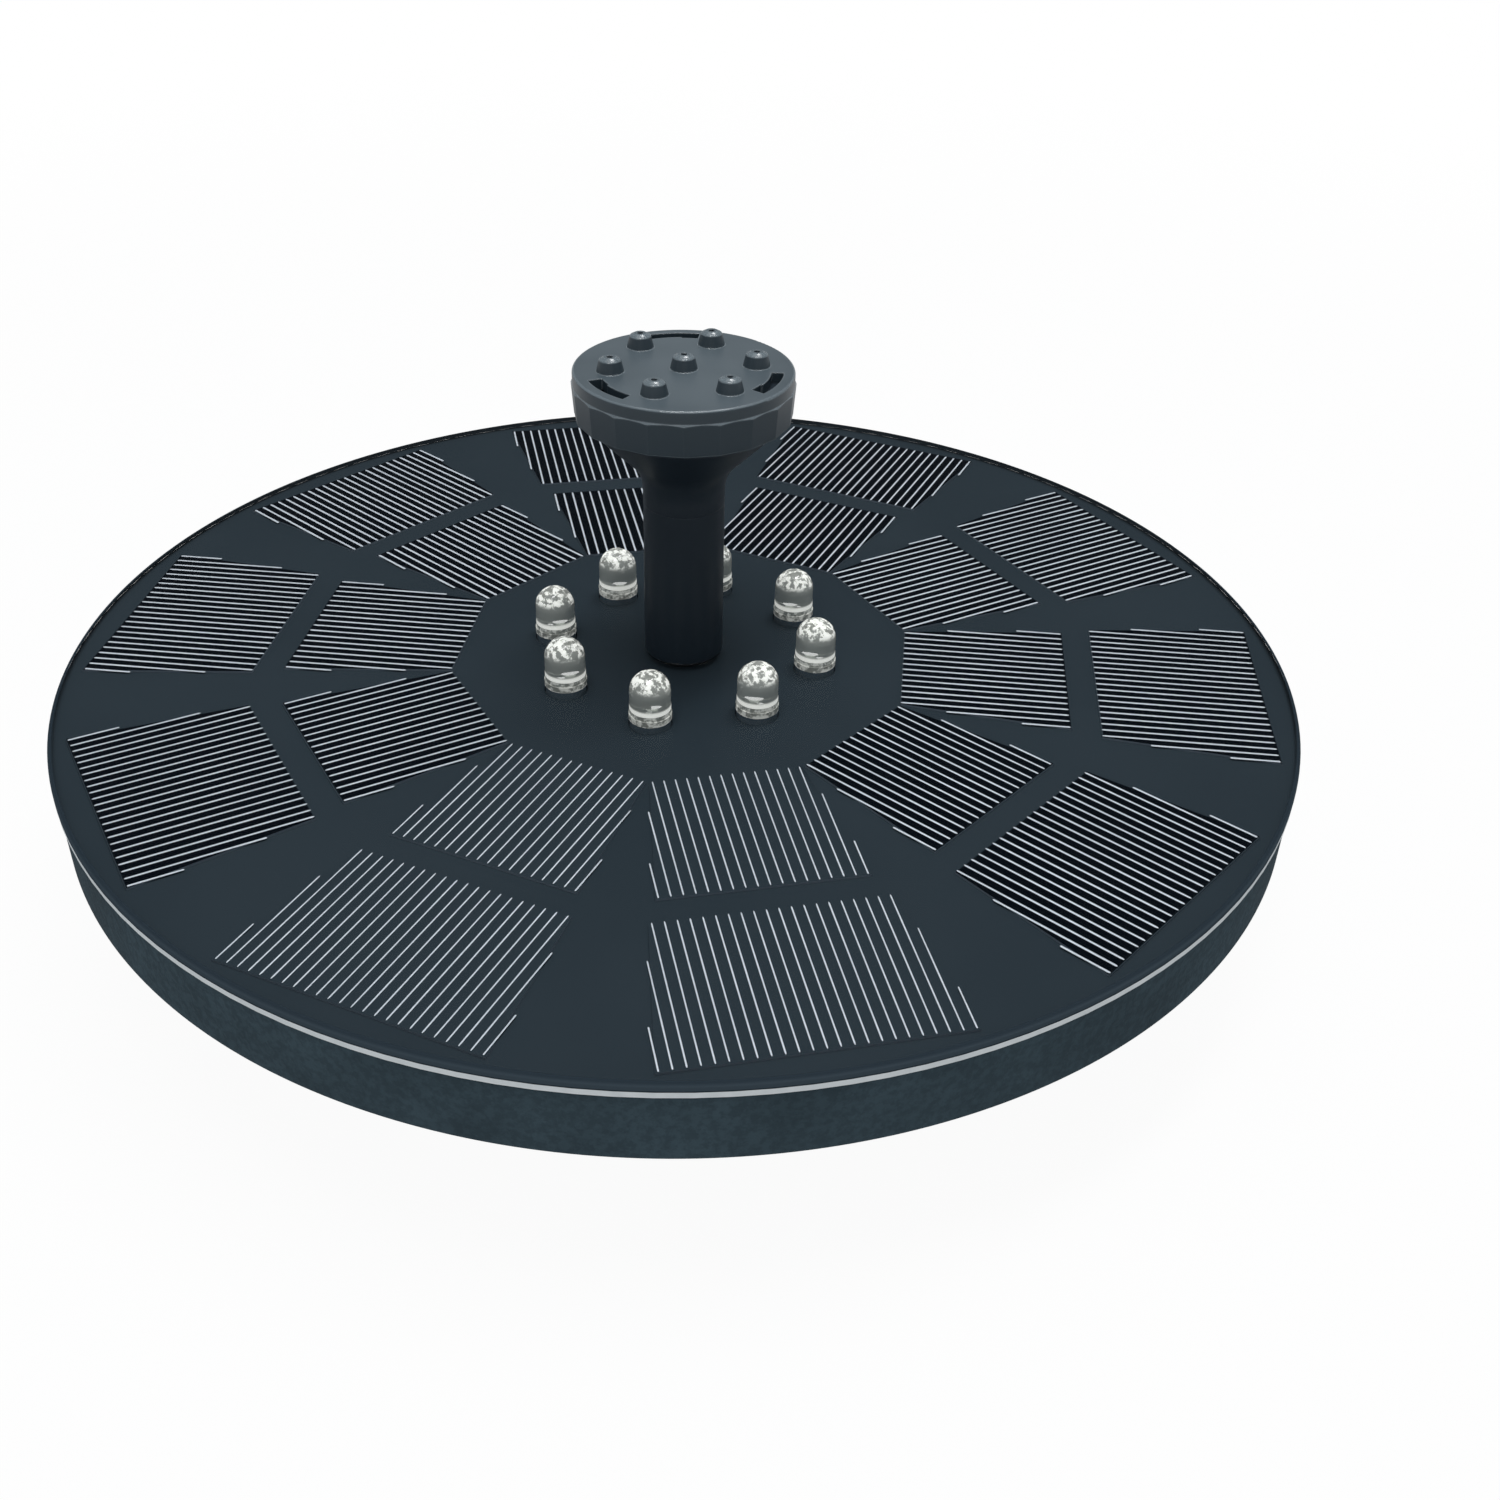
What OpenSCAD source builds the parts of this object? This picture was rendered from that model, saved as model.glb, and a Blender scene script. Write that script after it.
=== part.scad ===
// Floating solar fountain pump: a round solar panel on a foam ring, with a small
// submersible pump hung under its middle and a nozzle head on a riser above it.
// The axis of the disc is Z. The pump's flat underside lies on Z = 0.

/* [Solar disc] */
// Diameter of the solar disc
disc_d = 180; // [170:1:220]
// Thickness of the fibre board under the cells
board_t = 1; // [0.8:0.1:2]
// Thickness of the clear resin over the cells
resin_t = 1; // [0.8:0.1:2]
// Rounding of the resin's top edge
resin_round = 0.6; // [0.2:0.1:0.7]

/* [Solar cells] */
// Number of sectors round the disc
sectors = 10; // [8:1:12]
// Direction of the first sector's middle
sector_phase = 28; // [0:1:36]
// Thickness of a cell
cell_t = 0.3; // [0.2:0.05:0.4]
// Distance between the silver finger lines
finger_pitch = 1.55; // [1.4:0.05:1.8]
// Distance from the lights to the inner cells
cell_inset = 10.05; // [6:0.05:14]
// Distance from the outer cells to the disc's edge
cell_rim = 4.2; // [4:0.1:8]
// Distance between the inner and the outer cells
cell_gap = 4.2; // [2:0.1:6]
// Finger lines across the inner end of an outer cell
outer_cell_lines = 20; // [12:2:20]
// Shorter finger lines added along each slanted side of a cell
side_lines = 2; // [1:1:2]
// Bare silicon outside the last finger line
cell_margin = 0.4; // [0.2:0.1:0.6]
// Least gap between the cells of two sectors
sector_gap = 0.2; // [0.1:0.1:1]

/* [Foam float] */
// Thickness of the foam ring
foam_t = 10; // [8:1:16]
// Gap between the foam and the glue round the battery box
foam_gap = 0.6; // [0.3:0.1:3]
// How far the foam's edge lies inside the disc's edge
foam_inset = 0.3; // [0.1:0.1:2]
// Rounding of the foam's cut edges
foam_round = 0.5; // [0.2:0.1:1]

/* [Lights] */
// Number of lights round the riser
led_count = 8; // [4:1:10]
// Radius of the ring of lights
led_ring_r = 20; // [18:0.5:21]
// Direction of the first light
led_phase = -13.6; // [-22:0.1:22]
// Diameter of a light's dome
led_d = 5.9; // [5:0.1:6]
// Height of a light above the disc
led_rise = 7.3; // [5:0.1:9]
// Width of the light's foot flange beyond its dome
led_flange = 0.4; // [0.2:0.1:0.5]
// Width of the low step round a light's foot, over the disc
led_foot = 0.12; // [0.1:0.01:0.3]
// Height of that step
led_foot_h = 0.9; // [0.5:0.1:1.5]
// Height of the cup in a light over the disc
led_cup_rise = 2; // [1:0.1:3]
// Thickness of the lights' circuit board
led_board_t = 0.8; // [0.6:0.1:0.8]

/* [Centre hub] */
// Room between the lights and the pan's wall
pan_room = 2.15; // [1:0.05:4]
// Height of the pan
pan_h = 2.5; // [2.5:0.1:4]
// Thickness of the pan's walls
pan_wall = 1; // [0.8:0.1:1]
// Wall of the collar that the pump hangs in
collar_wall = 1.5; // [1:0.1:2.5]
// Distance from the pump to the collar
collar_gap = 2.5; // [1.5:0.1:5]
// Height of the spigot above the disc
spigot_h = 8; // [7:0.5:12]

/* [Riser and nozzle] */
// Inner diameter of the water way
water_d = 5.2; // [4:0.1:5.4]
// Outer diameter of the riser tube
riser_d = 11.6; // [11.5:0.1:13]
// Wall of the riser tube
riser_wall = 1.45; // [1.2:0.05:1.5]
// Length of the riser tube
riser_len = 24; // [20:1:60]
// Depth that the nozzle's spigot reaches into the riser
nozzle_plug = 7; // [4:0.5:8]
// Length of the nozzle's straight neck above the riser
nozzle_neck = 2; // [1:0.1:6]
// Radius of the curve from the neck into the funnel
flare_r = 6.4; // [3:0.1:8]
// Height of the funnel's straight shoulder below the cap
shoulder_h = 0.7; // [0.5:0.1:3]
// Wall of the funnel
funnel_wall = 1.3; // [1:0.1:1.6]
// Diameter of the cap over its corners
cap_d = 30.8; // [30:0.1:40]
// Number of flats round the cap
cap_flats = 20; // [16:1:24]
// Height of the cap's rim
cap_h = 6.4; // [5:0.1:8]
// Thickness of the cap's top
cap_top_t = 1.5; // [1.2:0.1:2]
// Wall of the cap's rim
cap_wall = 1.45; // [1.3:0.05:1.8]
// Height of the smooth lip over the flats
cap_lip_h = 1.8; // [1:0.1:2]
// Draft of the cap's flats in degrees
cap_draft = 4; // [0:0.5:5]
// Number of jets in the ring round the middle jet
jets = 6; // [4:1:6]
// Radius of the ring of jets
jet_ring_r = 10; // [8:0.1:10]
// Direction of the first jet
jet_phase = 7.3; // [0:0.1:60]
// Diameter of a jet post at its foot
jet_foot_d = 3.8; // [3.4:0.1:3.8]
// Diameter of a jet post at its round shoulder
jet_shoulder_d = 3.1; // [2.6:0.1:3.3]
// Diameter of a jet post at its tip
jet_tip_d = 1.7; // [1.4:0.1:2]
// Height of a jet post
jet_h = 2; // [1.5:0.1:4]
// Diameter of a jet's hole
jet_hole_d = 0.9; // [0.6:0.1:1.2]
// Width of a coring slot
slot_w = 1.7; // [0.8:0.1:1.8]
// Width of a coring slot's wider end
slot_wide = 2; // [1:0.1:2.1]
// Length of a coring slot in degrees
slot_span = 34; // [20:1:40]

/* [Pump body] */
// Width of the pump
pump_w = 30; // [29.5:0.5:34]
// Length of the pump
pump_l = 36; // [36:0.5:40]
// Height of the pump
pump_h = 19.5; // [19.5:0.5:24]
// Rounding of the pump's long edges
pump_round = 5.5; // [4.5:0.1:6]
// Wall of the pump's mouldings
pump_wall = 1.7; // [1.5:0.1:1.8]
// Distance from the pump's middle to its front
pump_front = 17; // [17:0.5:19]
// Length of the strainer cover
cover_l = 9; // [8.5:0.1:9.5]
// Rounding of the strainer cover's front edge
cover_round = 2; // [1:0.1:2.5]
// Depth that the housing's lip reaches into the strainer cover
lip_l = 2.5; // [1.5:0.1:3]
// Length of the rear cap
rear_cap_l = 5.4; // [5.4:0.1:6]
// Rounding of the rear cap's back edge
rear_round = 2; // [1:0.1:2.5]
// Depth and width of the visible seams
seam = 0.3; // [0.2:0.05:0.4]
// Number of grip grooves along each side
grooves = 5; // [3:1:6]
// Distance between the grooves
groove_pitch = 3.9; // [3:0.1:3.9]
// Width of a groove
groove_w = 0.8; // [0.5:0.1:1]
// Depth of a groove
groove_depth = 0.7; // [0.4:0.1:0.8]
// How far a groove reaches in from the pump's side
groove_reach = 5; // [3:0.1:7]
// How far a groove climbs up the pump's side
groove_climb = 15; // [8:0.5:16]
// Distance between the strainer's slats
slat_pitch = 1.67; // [1.2:0.01:3]
// Thickness of a slat
slat_t = 0.55; // [0.4:0.05:0.8]
// Wall beside the strainer's window
window_side = 3.3; // [2.5:0.1:6]
// Least wall above and below the strainer's window
window_wall = 1.6; // [1.5:0.1:3]
// Rounding of the strainer's window
window_round = 4; // [2:0.1:5]

/* [Impeller and motor] */
// Wall of the housing's lip round the impeller cover
lip_wall = 0.75; // [0.6:0.05:1.5]
// Width of the ledge that the impeller cover rests on
ledge = 0.5; // [0.3:0.1:0.8]
// Distance from the chamber's back wall to the pump's middle
chamber_back = 3; // [2.9:0.1:3.1]
// Thickness of the impeller cover
volute_t = 1.4; // [1.2:0.1:1.8]
// Diameter of the water inlet in the impeller cover
inlet_d = 8; // [7:0.1:9]
// Running gap round the impeller
impeller_gap = 1; // [0.5:0.1:2]
// Number of impeller blades
blades = 6; // [4:1:8]
// Thickness of an impeller blade
blade_t = 0.9; // [0.6:0.1:1.2]
// Thickness of the impeller's back disc
blade_disc_t = 1; // [0.8:0.1:1.5]
// Diameter of the impeller's boss
impeller_boss_d = 4; // [3:0.1:5]
// Diameter of the rotor's magnet
magnet_d = 10.4; // [9:0.1:10.6]
// Diameter of the shaft
shaft_d = 1.5; // [1.2:0.1:1.8]
// Running gap round the magnet
magnet_gap = 0.6; // [0.4:0.1:0.8]
// Wall of the rotor's well
well_wall = 1.1; // [0.9:0.1:1.2]
// Thickness of the walls across the pump
inner_wall = 1.4; // [1.2:0.1:1.6]
// Depth of the rear bush
bush_t = 1.5; // [1.2:0.1:1.8]
// Diameter of the rear bush
bush_d = 4.4; // [3.5:0.1:5]
// Diameter of the front bush
front_bush_d = 2.8; // [2.4:0.1:3]
// Wall of the boss round the front bush
boss_wall = 0.8; // [0.6:0.1:1]
// Thickness of the stator's laminated core
core_t = 1.6; // [1.2:0.1:1.8]
// Height of the core's back and side bars
core_h = 7; // [5:0.5:9]
// Height of the core's limbs through the coils
limb_h = 4; // [3:0.5:5]
// Thickness of the pole shoes
shoe_t = 1; // [0.8:0.1:1.1]
// Depth of the coils' windings over the limbs
winding = 1.7; // [1:0.1:2]
// Width of the motor's driver board
driver_w = 22; // [16:1:23]
// Height of the motor's driver board
driver_h = 12; // [8:1:14]
// Thickness of the circuit boards
circuit_t = 0.8; // [0.6:0.1:1]
// Width of the driver chip
chip_w = 5; // [3:0.5:6]
// Height of the driver chip
chip_h = 4; // [3:0.5:5]
// Thickness of the chips
chip_t = 0.6; // [0.4:0.1:0.7]

/* [Battery box] */
// Length of the battery box
box_w = 56; // [54:1:58]
// Width of the battery box
box_l = 31; // [30:0.5:32]
// Height of the battery box
box_h = 19.8; // [19.6:0.2:22]
// Wall of the battery box
box_wall = 1.5; // [1.2:0.1:1.6]
// Rounding of the box's upright corners
box_round = 0.9; // [0.6:0.1:1.5]
// Sideways place of the box's middle
box_x = -1.5; // [-3:0.5:3]
// Gap between the pan and the battery box
box_gap = 0.2; // [0.1:0.1:1]
// Width of the glue bead round the box
bead_w = 2.4; // [1:0.1:2.6]
// Height of the glue beads
bead_h = 1.3; // [0.6:0.1:1.8]
// Room at each end of the battery cell
battery_room = 1.75; // [0.5:0.05:6]
// Width of the charging board
charge_w = 36; // [24:1:48]
// Height of the charging board
charge_h = 14; // [10:1:16]
// Diameter of the charging board's capacitor
capacitor_d = 5; // [3:0.5:6]
// Height of the charging board's parts
charge_part_h = 2.2; // [1:0.1:4]

/* [Lead] */
// Diameter of the lead between the pump and the box
lead_d = 3.6; // [3:0.1:3.8]
// Length of a grommet outside its wall
grommet_l = 1.3; // [0.8:0.1:1.6]

/* [Fits] */
// Radial clearance of sliding and turning fits
fit = 0.05; // [0.02:0.01:0.1]
// Clearance round seated pieces
seat = 0.15; // [0.1:0.05:0.2]

/* [Hidden] */
$fn = 96;
eps = 0.01;

// The fits of the water way
spigot_r = riser_d / 2 - riser_wall - fit;
collar_r = spigot_r + fit + collar_wall;
ring_slack = 0.02;
ring_drop = 4;
ring_groove_r = water_d / 2 + 0.7;
ring_d = spigot_r - ring_groove_r - 2 * ring_slack;
ring_r = ring_groove_r + ring_slack + ring_d / 2;

// The pan under the lights
pan_r = led_ring_r + led_d / 2 + led_flange + pan_room + pan_wall;

// Levels, from the pump's underside up
pump_mid = pump_h / 2;
collar_z = pump_h + collar_gap;
foam_z = collar_z;
board_z = foam_z + foam_t;
pan_z = board_z - pan_h;
neck_top = pan_z - 0.5;
led_floor_z = pan_z + pan_wall;
led_z = led_floor_z + led_board_t;
resin_z = board_z + board_t;
top_z = resin_z + resin_t;
riser_top = top_z + riser_len;

// The cells, between the lights and the disc's edge
inner_cell_start = led_ring_r + led_d / 2 + cell_inset;
cell_len = (disc_d / 2 - cell_rim - inner_cell_start - cell_gap) / 2;
outer_cell_start = inner_cell_start + cell_len + cell_gap;

// The inside of the cap, and the funnel that leads up into it
flat_r = cap_d / 2 * cos(180 / cap_flats);
cap_inner_r = flat_r - cap_wall;
funnel_r = cap_inner_r - fit;
flare_z = riser_top + nozzle_neck;
cone_r = riser_d / 2 + flare_r * (1 - cos(45));
cone_z = flare_z + flare_r * sin(45);
cap_z = cone_z + funnel_r - cone_r + shoulder_h;

// The pump's profile sizes
inner_w = pump_w - 2 * pump_wall;
inner_h = pump_h - 2 * pump_wall;
inner_round = pump_round - pump_wall;
lip_inset = 1.3;
cover_inset = lip_inset - seat;
slats = floor((pump_h - 2 * window_wall + slat_t) / slat_pitch) - 1;
window_w = pump_w - 2 * window_side;
window_h = (slats + 1) * slat_pitch - slat_t;
volute_r = pump_h / 2 - lip_inset - lip_wall;
chamber_r = volute_r - ledge;
impeller_r = chamber_r - impeller_gap;
magnet_r = magnet_d / 2;
well_r = magnet_r + magnet_gap;
shell_r = well_r + well_wall;
bush_r = bush_d / 2;
front_bush_r = front_bush_d / 2;
boss_r = front_bush_r + boss_wall;
shaft_bore_r = shaft_d / 2 + fit;

// The pump's places along Y, front to back
end_play = 0.2;
pump_back = pump_front - pump_l;
cover_y = pump_front - cover_l;
rear_y = pump_back + rear_cap_l;
volute_y = cover_y - 0.8;
volute_front_y = volute_y + volute_t;
shaft_front_y = volute_front_y - 0.4;
bush_front_y = volute_y - 1;
hub_front_y = bush_front_y - end_play;
disc_back_y = 0.4 - chamber_back;
disc_front_y = disc_back_y + blade_disc_t;
bush_floor_y = rear_y + 0.6;
bush_back_y = bush_floor_y + bush_t;
well_y = bush_back_y - 0.1;
magnet_back_y = bush_back_y + end_play;
motor_front_y = -chamber_back - inner_wall;
core_back_y = rear_y - core_t;
board_back_y = core_back_y - circuit_t;
potting_back_y = pump_back + 1.5;

// The stator, which fills the motor's room
motor_l = motor_front_y - rear_y;
motor_y = (motor_front_y + rear_y) / 2;
limb_l = motor_l * 0.43;
shoe_l = motor_l * 0.65;
coil_l = motor_l * 0.8;
shoe_r = shell_r + seat;
coil_x = shoe_r + shoe_t + 0.25;
bar_out_x = inner_w / 2 - 0.7;
bar_x = bar_out_x - core_t;
coil_t = bar_x - coil_x - 0.2;

// The battery box and the foam's hole round it
box_left = box_x - box_w / 2;
box_y = pan_r + box_gap;
box_z = board_z - box_h;
battery_d = box_h - box_wall - 2 * seat;
battery_l = box_w - 2 * box_wall - 2 * battery_room;
foam_hole_r = norm([box_w / 2 + abs(box_x), box_y + box_l]) + bead_w + foam_gap;

// The grommets
grommet_y = rear_y - 2;
grommet_shank_r = 1.6;
box_grommet_y = box_y + box_l * 0.62;
box_grommet_z = box_z + box_h * 0.45;

// The lead's route, from the pump's grommet round to the battery box's
lead_route = [
  [-pump_w / 2 - grommet_l, grommet_y, pump_mid],
  [-19, -16, 9.5],
  [-23, -18, 9],
  [-28, -21, 9],
  [-34, -22.5, 10],
  [-40, -22, 11],
  [-45, -19, 13],
  [-49, -14, 15],
  [-52, -7, 16],
  [-53, 0, 17],
  [-52, 8, 18],
  [-50, 16, 19],
  [-47, 24, 20],
  [-44, 31, 20.5],
  [-40, 38, 21],
  [-35.5, 43, 21],
  [box_left - grommet_l, box_grommet_y, box_grommet_z],
];

// ---- shared shapes ----

// A rectangle with round corners, about its middle
module round_rect(w, h, r) {
  square([w - 2 * r, h], center = true);
  square([w, h - 2 * r], center = true);
  for (x = [-1, 1], y = [-1, 1])
    translate([x * (w / 2 - r), y * (h / 2 - r)]) circle(r);
}

// A profile drawn across the pump, carried along Y
module along_y(y0, y1) {
  translate([0, y1, pump_mid]) rotate([90, 0, 0]) linear_extrude(y1 - y0) children();
}

// A ring cut square
module ring(r_out, r_in, h) {
  difference() {
    cylinder(r = r_out, h = h);
    translate([0, 0, -eps]) cylinder(r = r_in, h = h + 2 * eps);
  }
}

// A short post with a round edge at its top
module soft_post(r, edge, h) {
  rotate_extrude($fn = 32) {
    square([r - edge, h]);
    square([r, h - edge]);
    translate([r - edge, h - edge]) intersection() {
      circle(edge, $fn = 32);
      square(edge);
    }
  }
}

// A block with round upright corners and a round edge at its top
module soft_block(w, l, r, edge, h) {
  hull()
    for (x = [-1, 1], y = [-1, 1])
      translate([x * (w / 2 - r), y * (l / 2 - r), 0]) soft_post(r, edge, h);
}

// Copies round the axis
module around(count, phase, r) {
  for (i = [0 : count - 1])
    rotate([0, 0, phase + i * 360 / count]) translate([r, 0, 0]) children();
}

// A rubber ring of round section, in the middle of its groove
module rubber_ring() {
  translate([0, 0, ring_d / 2 + seat])
    rotate_extrude() translate([ring_r, 0]) circle(d = ring_d, $fn = 32);
}

// The groove that the rubber ring sits in
module ring_groove() {
  ring(spigot_r + 1, ring_groove_r, ring_d + 2 * seat);
}

// ---- the solar disc ----

// Finger lines that fit across a sector at this distance from the axis
function lines_at(start) =
  floor(2 * (start * tan(180 / sectors) - sector_gap - cell_margin) / finger_pitch) + 1;

// Half the width of a cell that has this many finger lines
function half_width(lines) = (lines - 1) / 2 * finger_pitch + cell_margin;

module cell_ring(lines, start) {
  w0 = half_width(lines);
  w1 = half_width(lines + 2 * side_lines);
  end = start + cell_len;
  for (i = [0 : sectors - 1])
    rotate([0, 0, sector_phase + i * 360 / sectors]) translate([0, 0, resin_z])
      linear_extrude(cell_t) polygon([[start, -w0], [end, -w1], [end, w1], [start, w0]]);
}

module disc_holes(z, h) {
  translate([0, 0, z]) cylinder(r = spigot_r + seat, h = h);
  around(led_count, led_phase, led_ring_r)
    translate([0, 0, z]) cylinder(d = led_d + 2 * seat, h = h);
}

module panel_board() {
  color("#b8b0a2") difference() {
    translate([0, 0, board_z]) cylinder(d = disc_d, h = board_t, $fn = 180);
    disc_holes(board_z - eps, board_t + 2 * eps);
  }
}

module inner_cells() {
  color("#10151c") cell_ring(lines_at(inner_cell_start), inner_cell_start);
}

module outer_cells() {
  lines = min(outer_cell_lines, lines_at(outer_cell_start));
  color("#10151c") cell_ring(lines, outer_cell_start);
}

module panel_resin() {
  r = disc_d / 2;
  color("#29323a") difference() {
    translate([0, 0, resin_z]) rotate_extrude($fn = 180) {
      square([r - resin_round, resin_t]);
      square([r, resin_t - resin_round]);
      translate([r - resin_round, resin_t - resin_round]) intersection() {
        circle(resin_round, $fn = 48);
        square(resin_round);
      }
    }
    disc_holes(resin_z - eps, resin_t + 2 * eps);
    inner_cells();
    outer_cells();
  }
}

// ---- the float ----

module foam_ring() {
  r0 = foam_hole_r;
  r1 = disc_d / 2 - foam_inset;
  color("#3a4046") translate([0, 0, foam_z + foam_t / 2]) rotate_extrude($fn = 180)
    translate([(r0 + r1) / 2, 0]) round_rect(r1 - r0, foam_t, foam_round, $fn = 48);
}

// ---- the hub and its lights ----

module hub() {
  color("#23282b") difference() {
    union() {
      translate([0, 0, pan_z]) cylinder(r = pan_r, h = pan_h);
      translate([0, 0, collar_z]) cylinder(r = collar_r, h = board_z - collar_z);
      translate([0, 0, board_z]) cylinder(r = spigot_r, h = top_z + spigot_h - board_z);
    }
    translate([0, 0, led_floor_z]) ring(pan_r - pan_wall, collar_r, pan_h);
    translate([0, 0, collar_z - eps]) cylinder(r = spigot_r + fit, h = neck_top + 0.2 - collar_z);
    translate([0, 0, collar_z]) cylinder(d = water_d, h = top_z + spigot_h);
    translate([0, 0, top_z + spigot_h / 2]) ring_groove();
  }
}

module hub_glue() {
  r0 = pan_r + fit;
  color("#1b2022") difference() {
    translate([0, 0, board_z]) mirror([0, 0, 1]) rotate_extrude()
      polygon([[r0, 0], [r0 + bead_h, 0], [r0 + bead_h * 0.7, bead_h * 0.6], [r0, bead_h]]);
    translate([0, 0, board_z - 2 * bead_h]) box_footprint(fit, 3 * bead_h);
  }
}

module led_board() {
  color("#2f5a3a") translate([0, 0, led_floor_z])
    ring(pan_r - pan_wall - seat, collar_r + seat, led_board_t);
}

// The lens leaves just the room that the lead frame cast into it takes
module led_lens() {
  r = led_d / 2;
  dome_z = top_z + led_rise - r;
  difference() {
    rotate_extrude() {
      translate([0, led_z]) square([r, dome_z - led_z]);
      translate([0, led_z]) square([r + led_flange, board_z - led_z - 0.1]);
      translate([0, top_z + fit]) square([r + led_foot, led_foot_h - fit]);
      translate([0, dome_z]) intersection() {
        circle(r);
        square(r);
      }
    }
    led_frame(fit);
  }
}

module led_lenses() {
  color("#e6ebee", 0.45) around(led_count, led_phase, led_ring_r) led_lens();
}

// The anvil with its cup and the thin post beside it, or with a grow the room they take in the lens
module led_frame(grow = 0) {
  h = top_z + led_cup_rise - led_z;
  cup_h = 1;
  g = grow;
  translate([-0.75 - g, -0.35 - g, led_z - g]) cube([0.5 + 2 * g, 0.7 + 2 * g, h - cup_h + g]);
  translate([0.3 - g, -0.25 - g, led_z - g]) cube([0.4 + 2 * g, 0.5 + 2 * g, h - 0.5 + 2 * g]);
  translate([-0.45, 0, led_z + h - cup_h - g]) difference() {
    cylinder(r = 0.7 + g, h = cup_h + 2 * g);
    if (grow == 0) translate([0, 0, cup_h / 2]) cylinder(r1 = 0.3, r2 = 0.6, h = cup_h / 2 + eps);
  }
}

module led_frames() {
  color("#c9ccd0") around(led_count, led_phase, led_ring_r) led_frame();
}

// ---- the riser and the nozzle ----

module riser_tube() {
  r = riser_d / 2;
  bore = r - riser_wall;
  lead_in = 0.3;
  color("#171b1e") translate([0, 0, top_z]) rotate_extrude()
    polygon([
      [bore + lead_in, 0], [r - lead_in, 0], [r, lead_in], [r, riser_len],
      [bore + lead_in, riser_len], [bore, riser_len - lead_in], [bore, lead_in],
    ]);
}

module riser_oring() {
  color("#101214") translate([0, 0, top_z + spigot_h / 2]) rubber_ring();
}

// A straight neck, a curve out of it, a 45 degree cone and a rim that carries the cap
module nozzle_funnel() {
  r_low = riser_d / 2;
  r_way = water_d / 2 + 0.6;
  rim_in = funnel_r - funnel_wall * 1.4;
  rim_top = cap_z + cap_h - cap_top_t;
  cone_in = cone_z - cone_r + funnel_wall * sqrt(2);
  color("#171b1e") rotate_extrude() difference() {
    polygon([
      [r_way, riser_top - nozzle_plug], [spigot_r - 0.3, riser_top - nozzle_plug],
      [spigot_r, riser_top - nozzle_plug + 0.3], [spigot_r, riser_top],
      [r_low, riser_top], [r_low, flare_z], [cone_r, cone_z],
      [funnel_r, cap_z - shoulder_h], [funnel_r, rim_top],
      [rim_in, rim_top], [rim_in, cone_in + rim_in], [r_way, cone_in + r_way],
    ]);
    translate([r_low + flare_r, flare_z]) circle(flare_r);
  }
}

// The outer form of the cap: a smooth round lip over drafted flats
module cap_form() {
  r = cap_d / 2;
  lip_r = flat_r - 0.05;
  edge = 0.35;
  flat_top = cap_h - cap_lip_h;
  flat_w = cap_d * sin(180 / cap_flats) + 1;
  difference() {
    rotate_extrude() {
      polygon([
        [0, 0], [r, 0], [r, flat_top - r + lip_r], [lip_r, flat_top],
        [lip_r, cap_h - edge], [lip_r - edge, cap_h], [0, cap_h],
      ]);
      translate([lip_r - edge, cap_h - edge]) intersection() {
        circle(edge, $fn = 48);
        square(edge);
      }
    }
    around(cap_flats, 180 / cap_flats - 90, flat_r)
      translate([0, 0, flat_top]) rotate([0, cap_draft, 0])
        translate([0, -flat_w / 2, -cap_h]) cube([cap_wall, flat_w, cap_h + cap_lip_h / 2]);
  }
}

module jet_post() {
  r = jet_shoulder_d / 2;
  edge = 0.4;
  shoulder = jet_h - edge - 0.2;
  rotate_extrude() {
    polygon([
      [0, 0], [jet_foot_d / 2, 0], [r, shoulder], [r - edge, shoulder + edge],
      [jet_tip_d / 2, jet_h], [0, jet_h],
    ]);
    translate([r - edge, shoulder]) circle(edge, $fn = 48);
  }
}

// A coring slot beside the rim, wider over its first third
module cap_slot() {
  h = cap_top_t + 2 * eps;
  r = cap_inner_r - seat;
  rotate_extrude(angle = slot_span) translate([r - slot_w, 0]) square([slot_w, h]);
  rotate_extrude(angle = slot_span / 3) translate([r - slot_wide, 0]) square([slot_wide, h]);
}

module nozzle_cap() {
  under = cap_h - cap_top_t;
  slot_start = jet_phase + 90 - slot_span / 2;
  color("#4a535b") translate([0, 0, cap_z]) difference() {
    union() {
      cap_form();
      translate([0, 0, cap_h]) {
        jet_post();
        around(jets, jet_phase, jet_ring_r) jet_post();
      }
    }
    translate([0, 0, -eps]) cylinder(r = cap_inner_r, h = under + eps);
    translate([0, 0, under - eps]) {
      cylinder(d = jet_hole_d, h = cap_top_t + jet_h + 1);
      around(jets, jet_phase, jet_ring_r) cylinder(d = jet_hole_d, h = cap_top_t + jet_h + 1);
      around(3, slot_start, 0) cap_slot();
    }
  }
}

// ---- the pump's mouldings ----

module pump_profile(inset = 0) {
  round_rect(pump_w - 2 * inset, pump_h - 2 * inset, pump_round - inset);
}

// The band between the outer profile and one inset below it
module skin_band(y0, y1, depth) {
  along_y(y0, y1) difference() {
    square([pump_w + 2, pump_h + 2], center = true);
    pump_profile(depth);
  }
}

// One groove on each side, cut up from the underside round the long edges
module grip_groove(y) {
  side = pump_w / 2 - groove_reach;
  intersection() {
    skin_band(y - groove_w / 2, y + groove_w / 2, groove_depth);
    for (x = [-side - groove_reach - 1, side])
      translate([x, y - groove_w, -1]) cube([groove_reach + 1, 2 * groove_w, groove_climb + 1]);
  }
}

module pump_neck() {
  translate([0, 0, pump_h - 1]) cylinder(r = spigot_r, h = neck_top - pump_h + 1);
  translate([0, 0, pump_h - eps]) cylinder(r1 = spigot_r + 1.5, r2 = spigot_r, h = 1.5);
}

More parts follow.
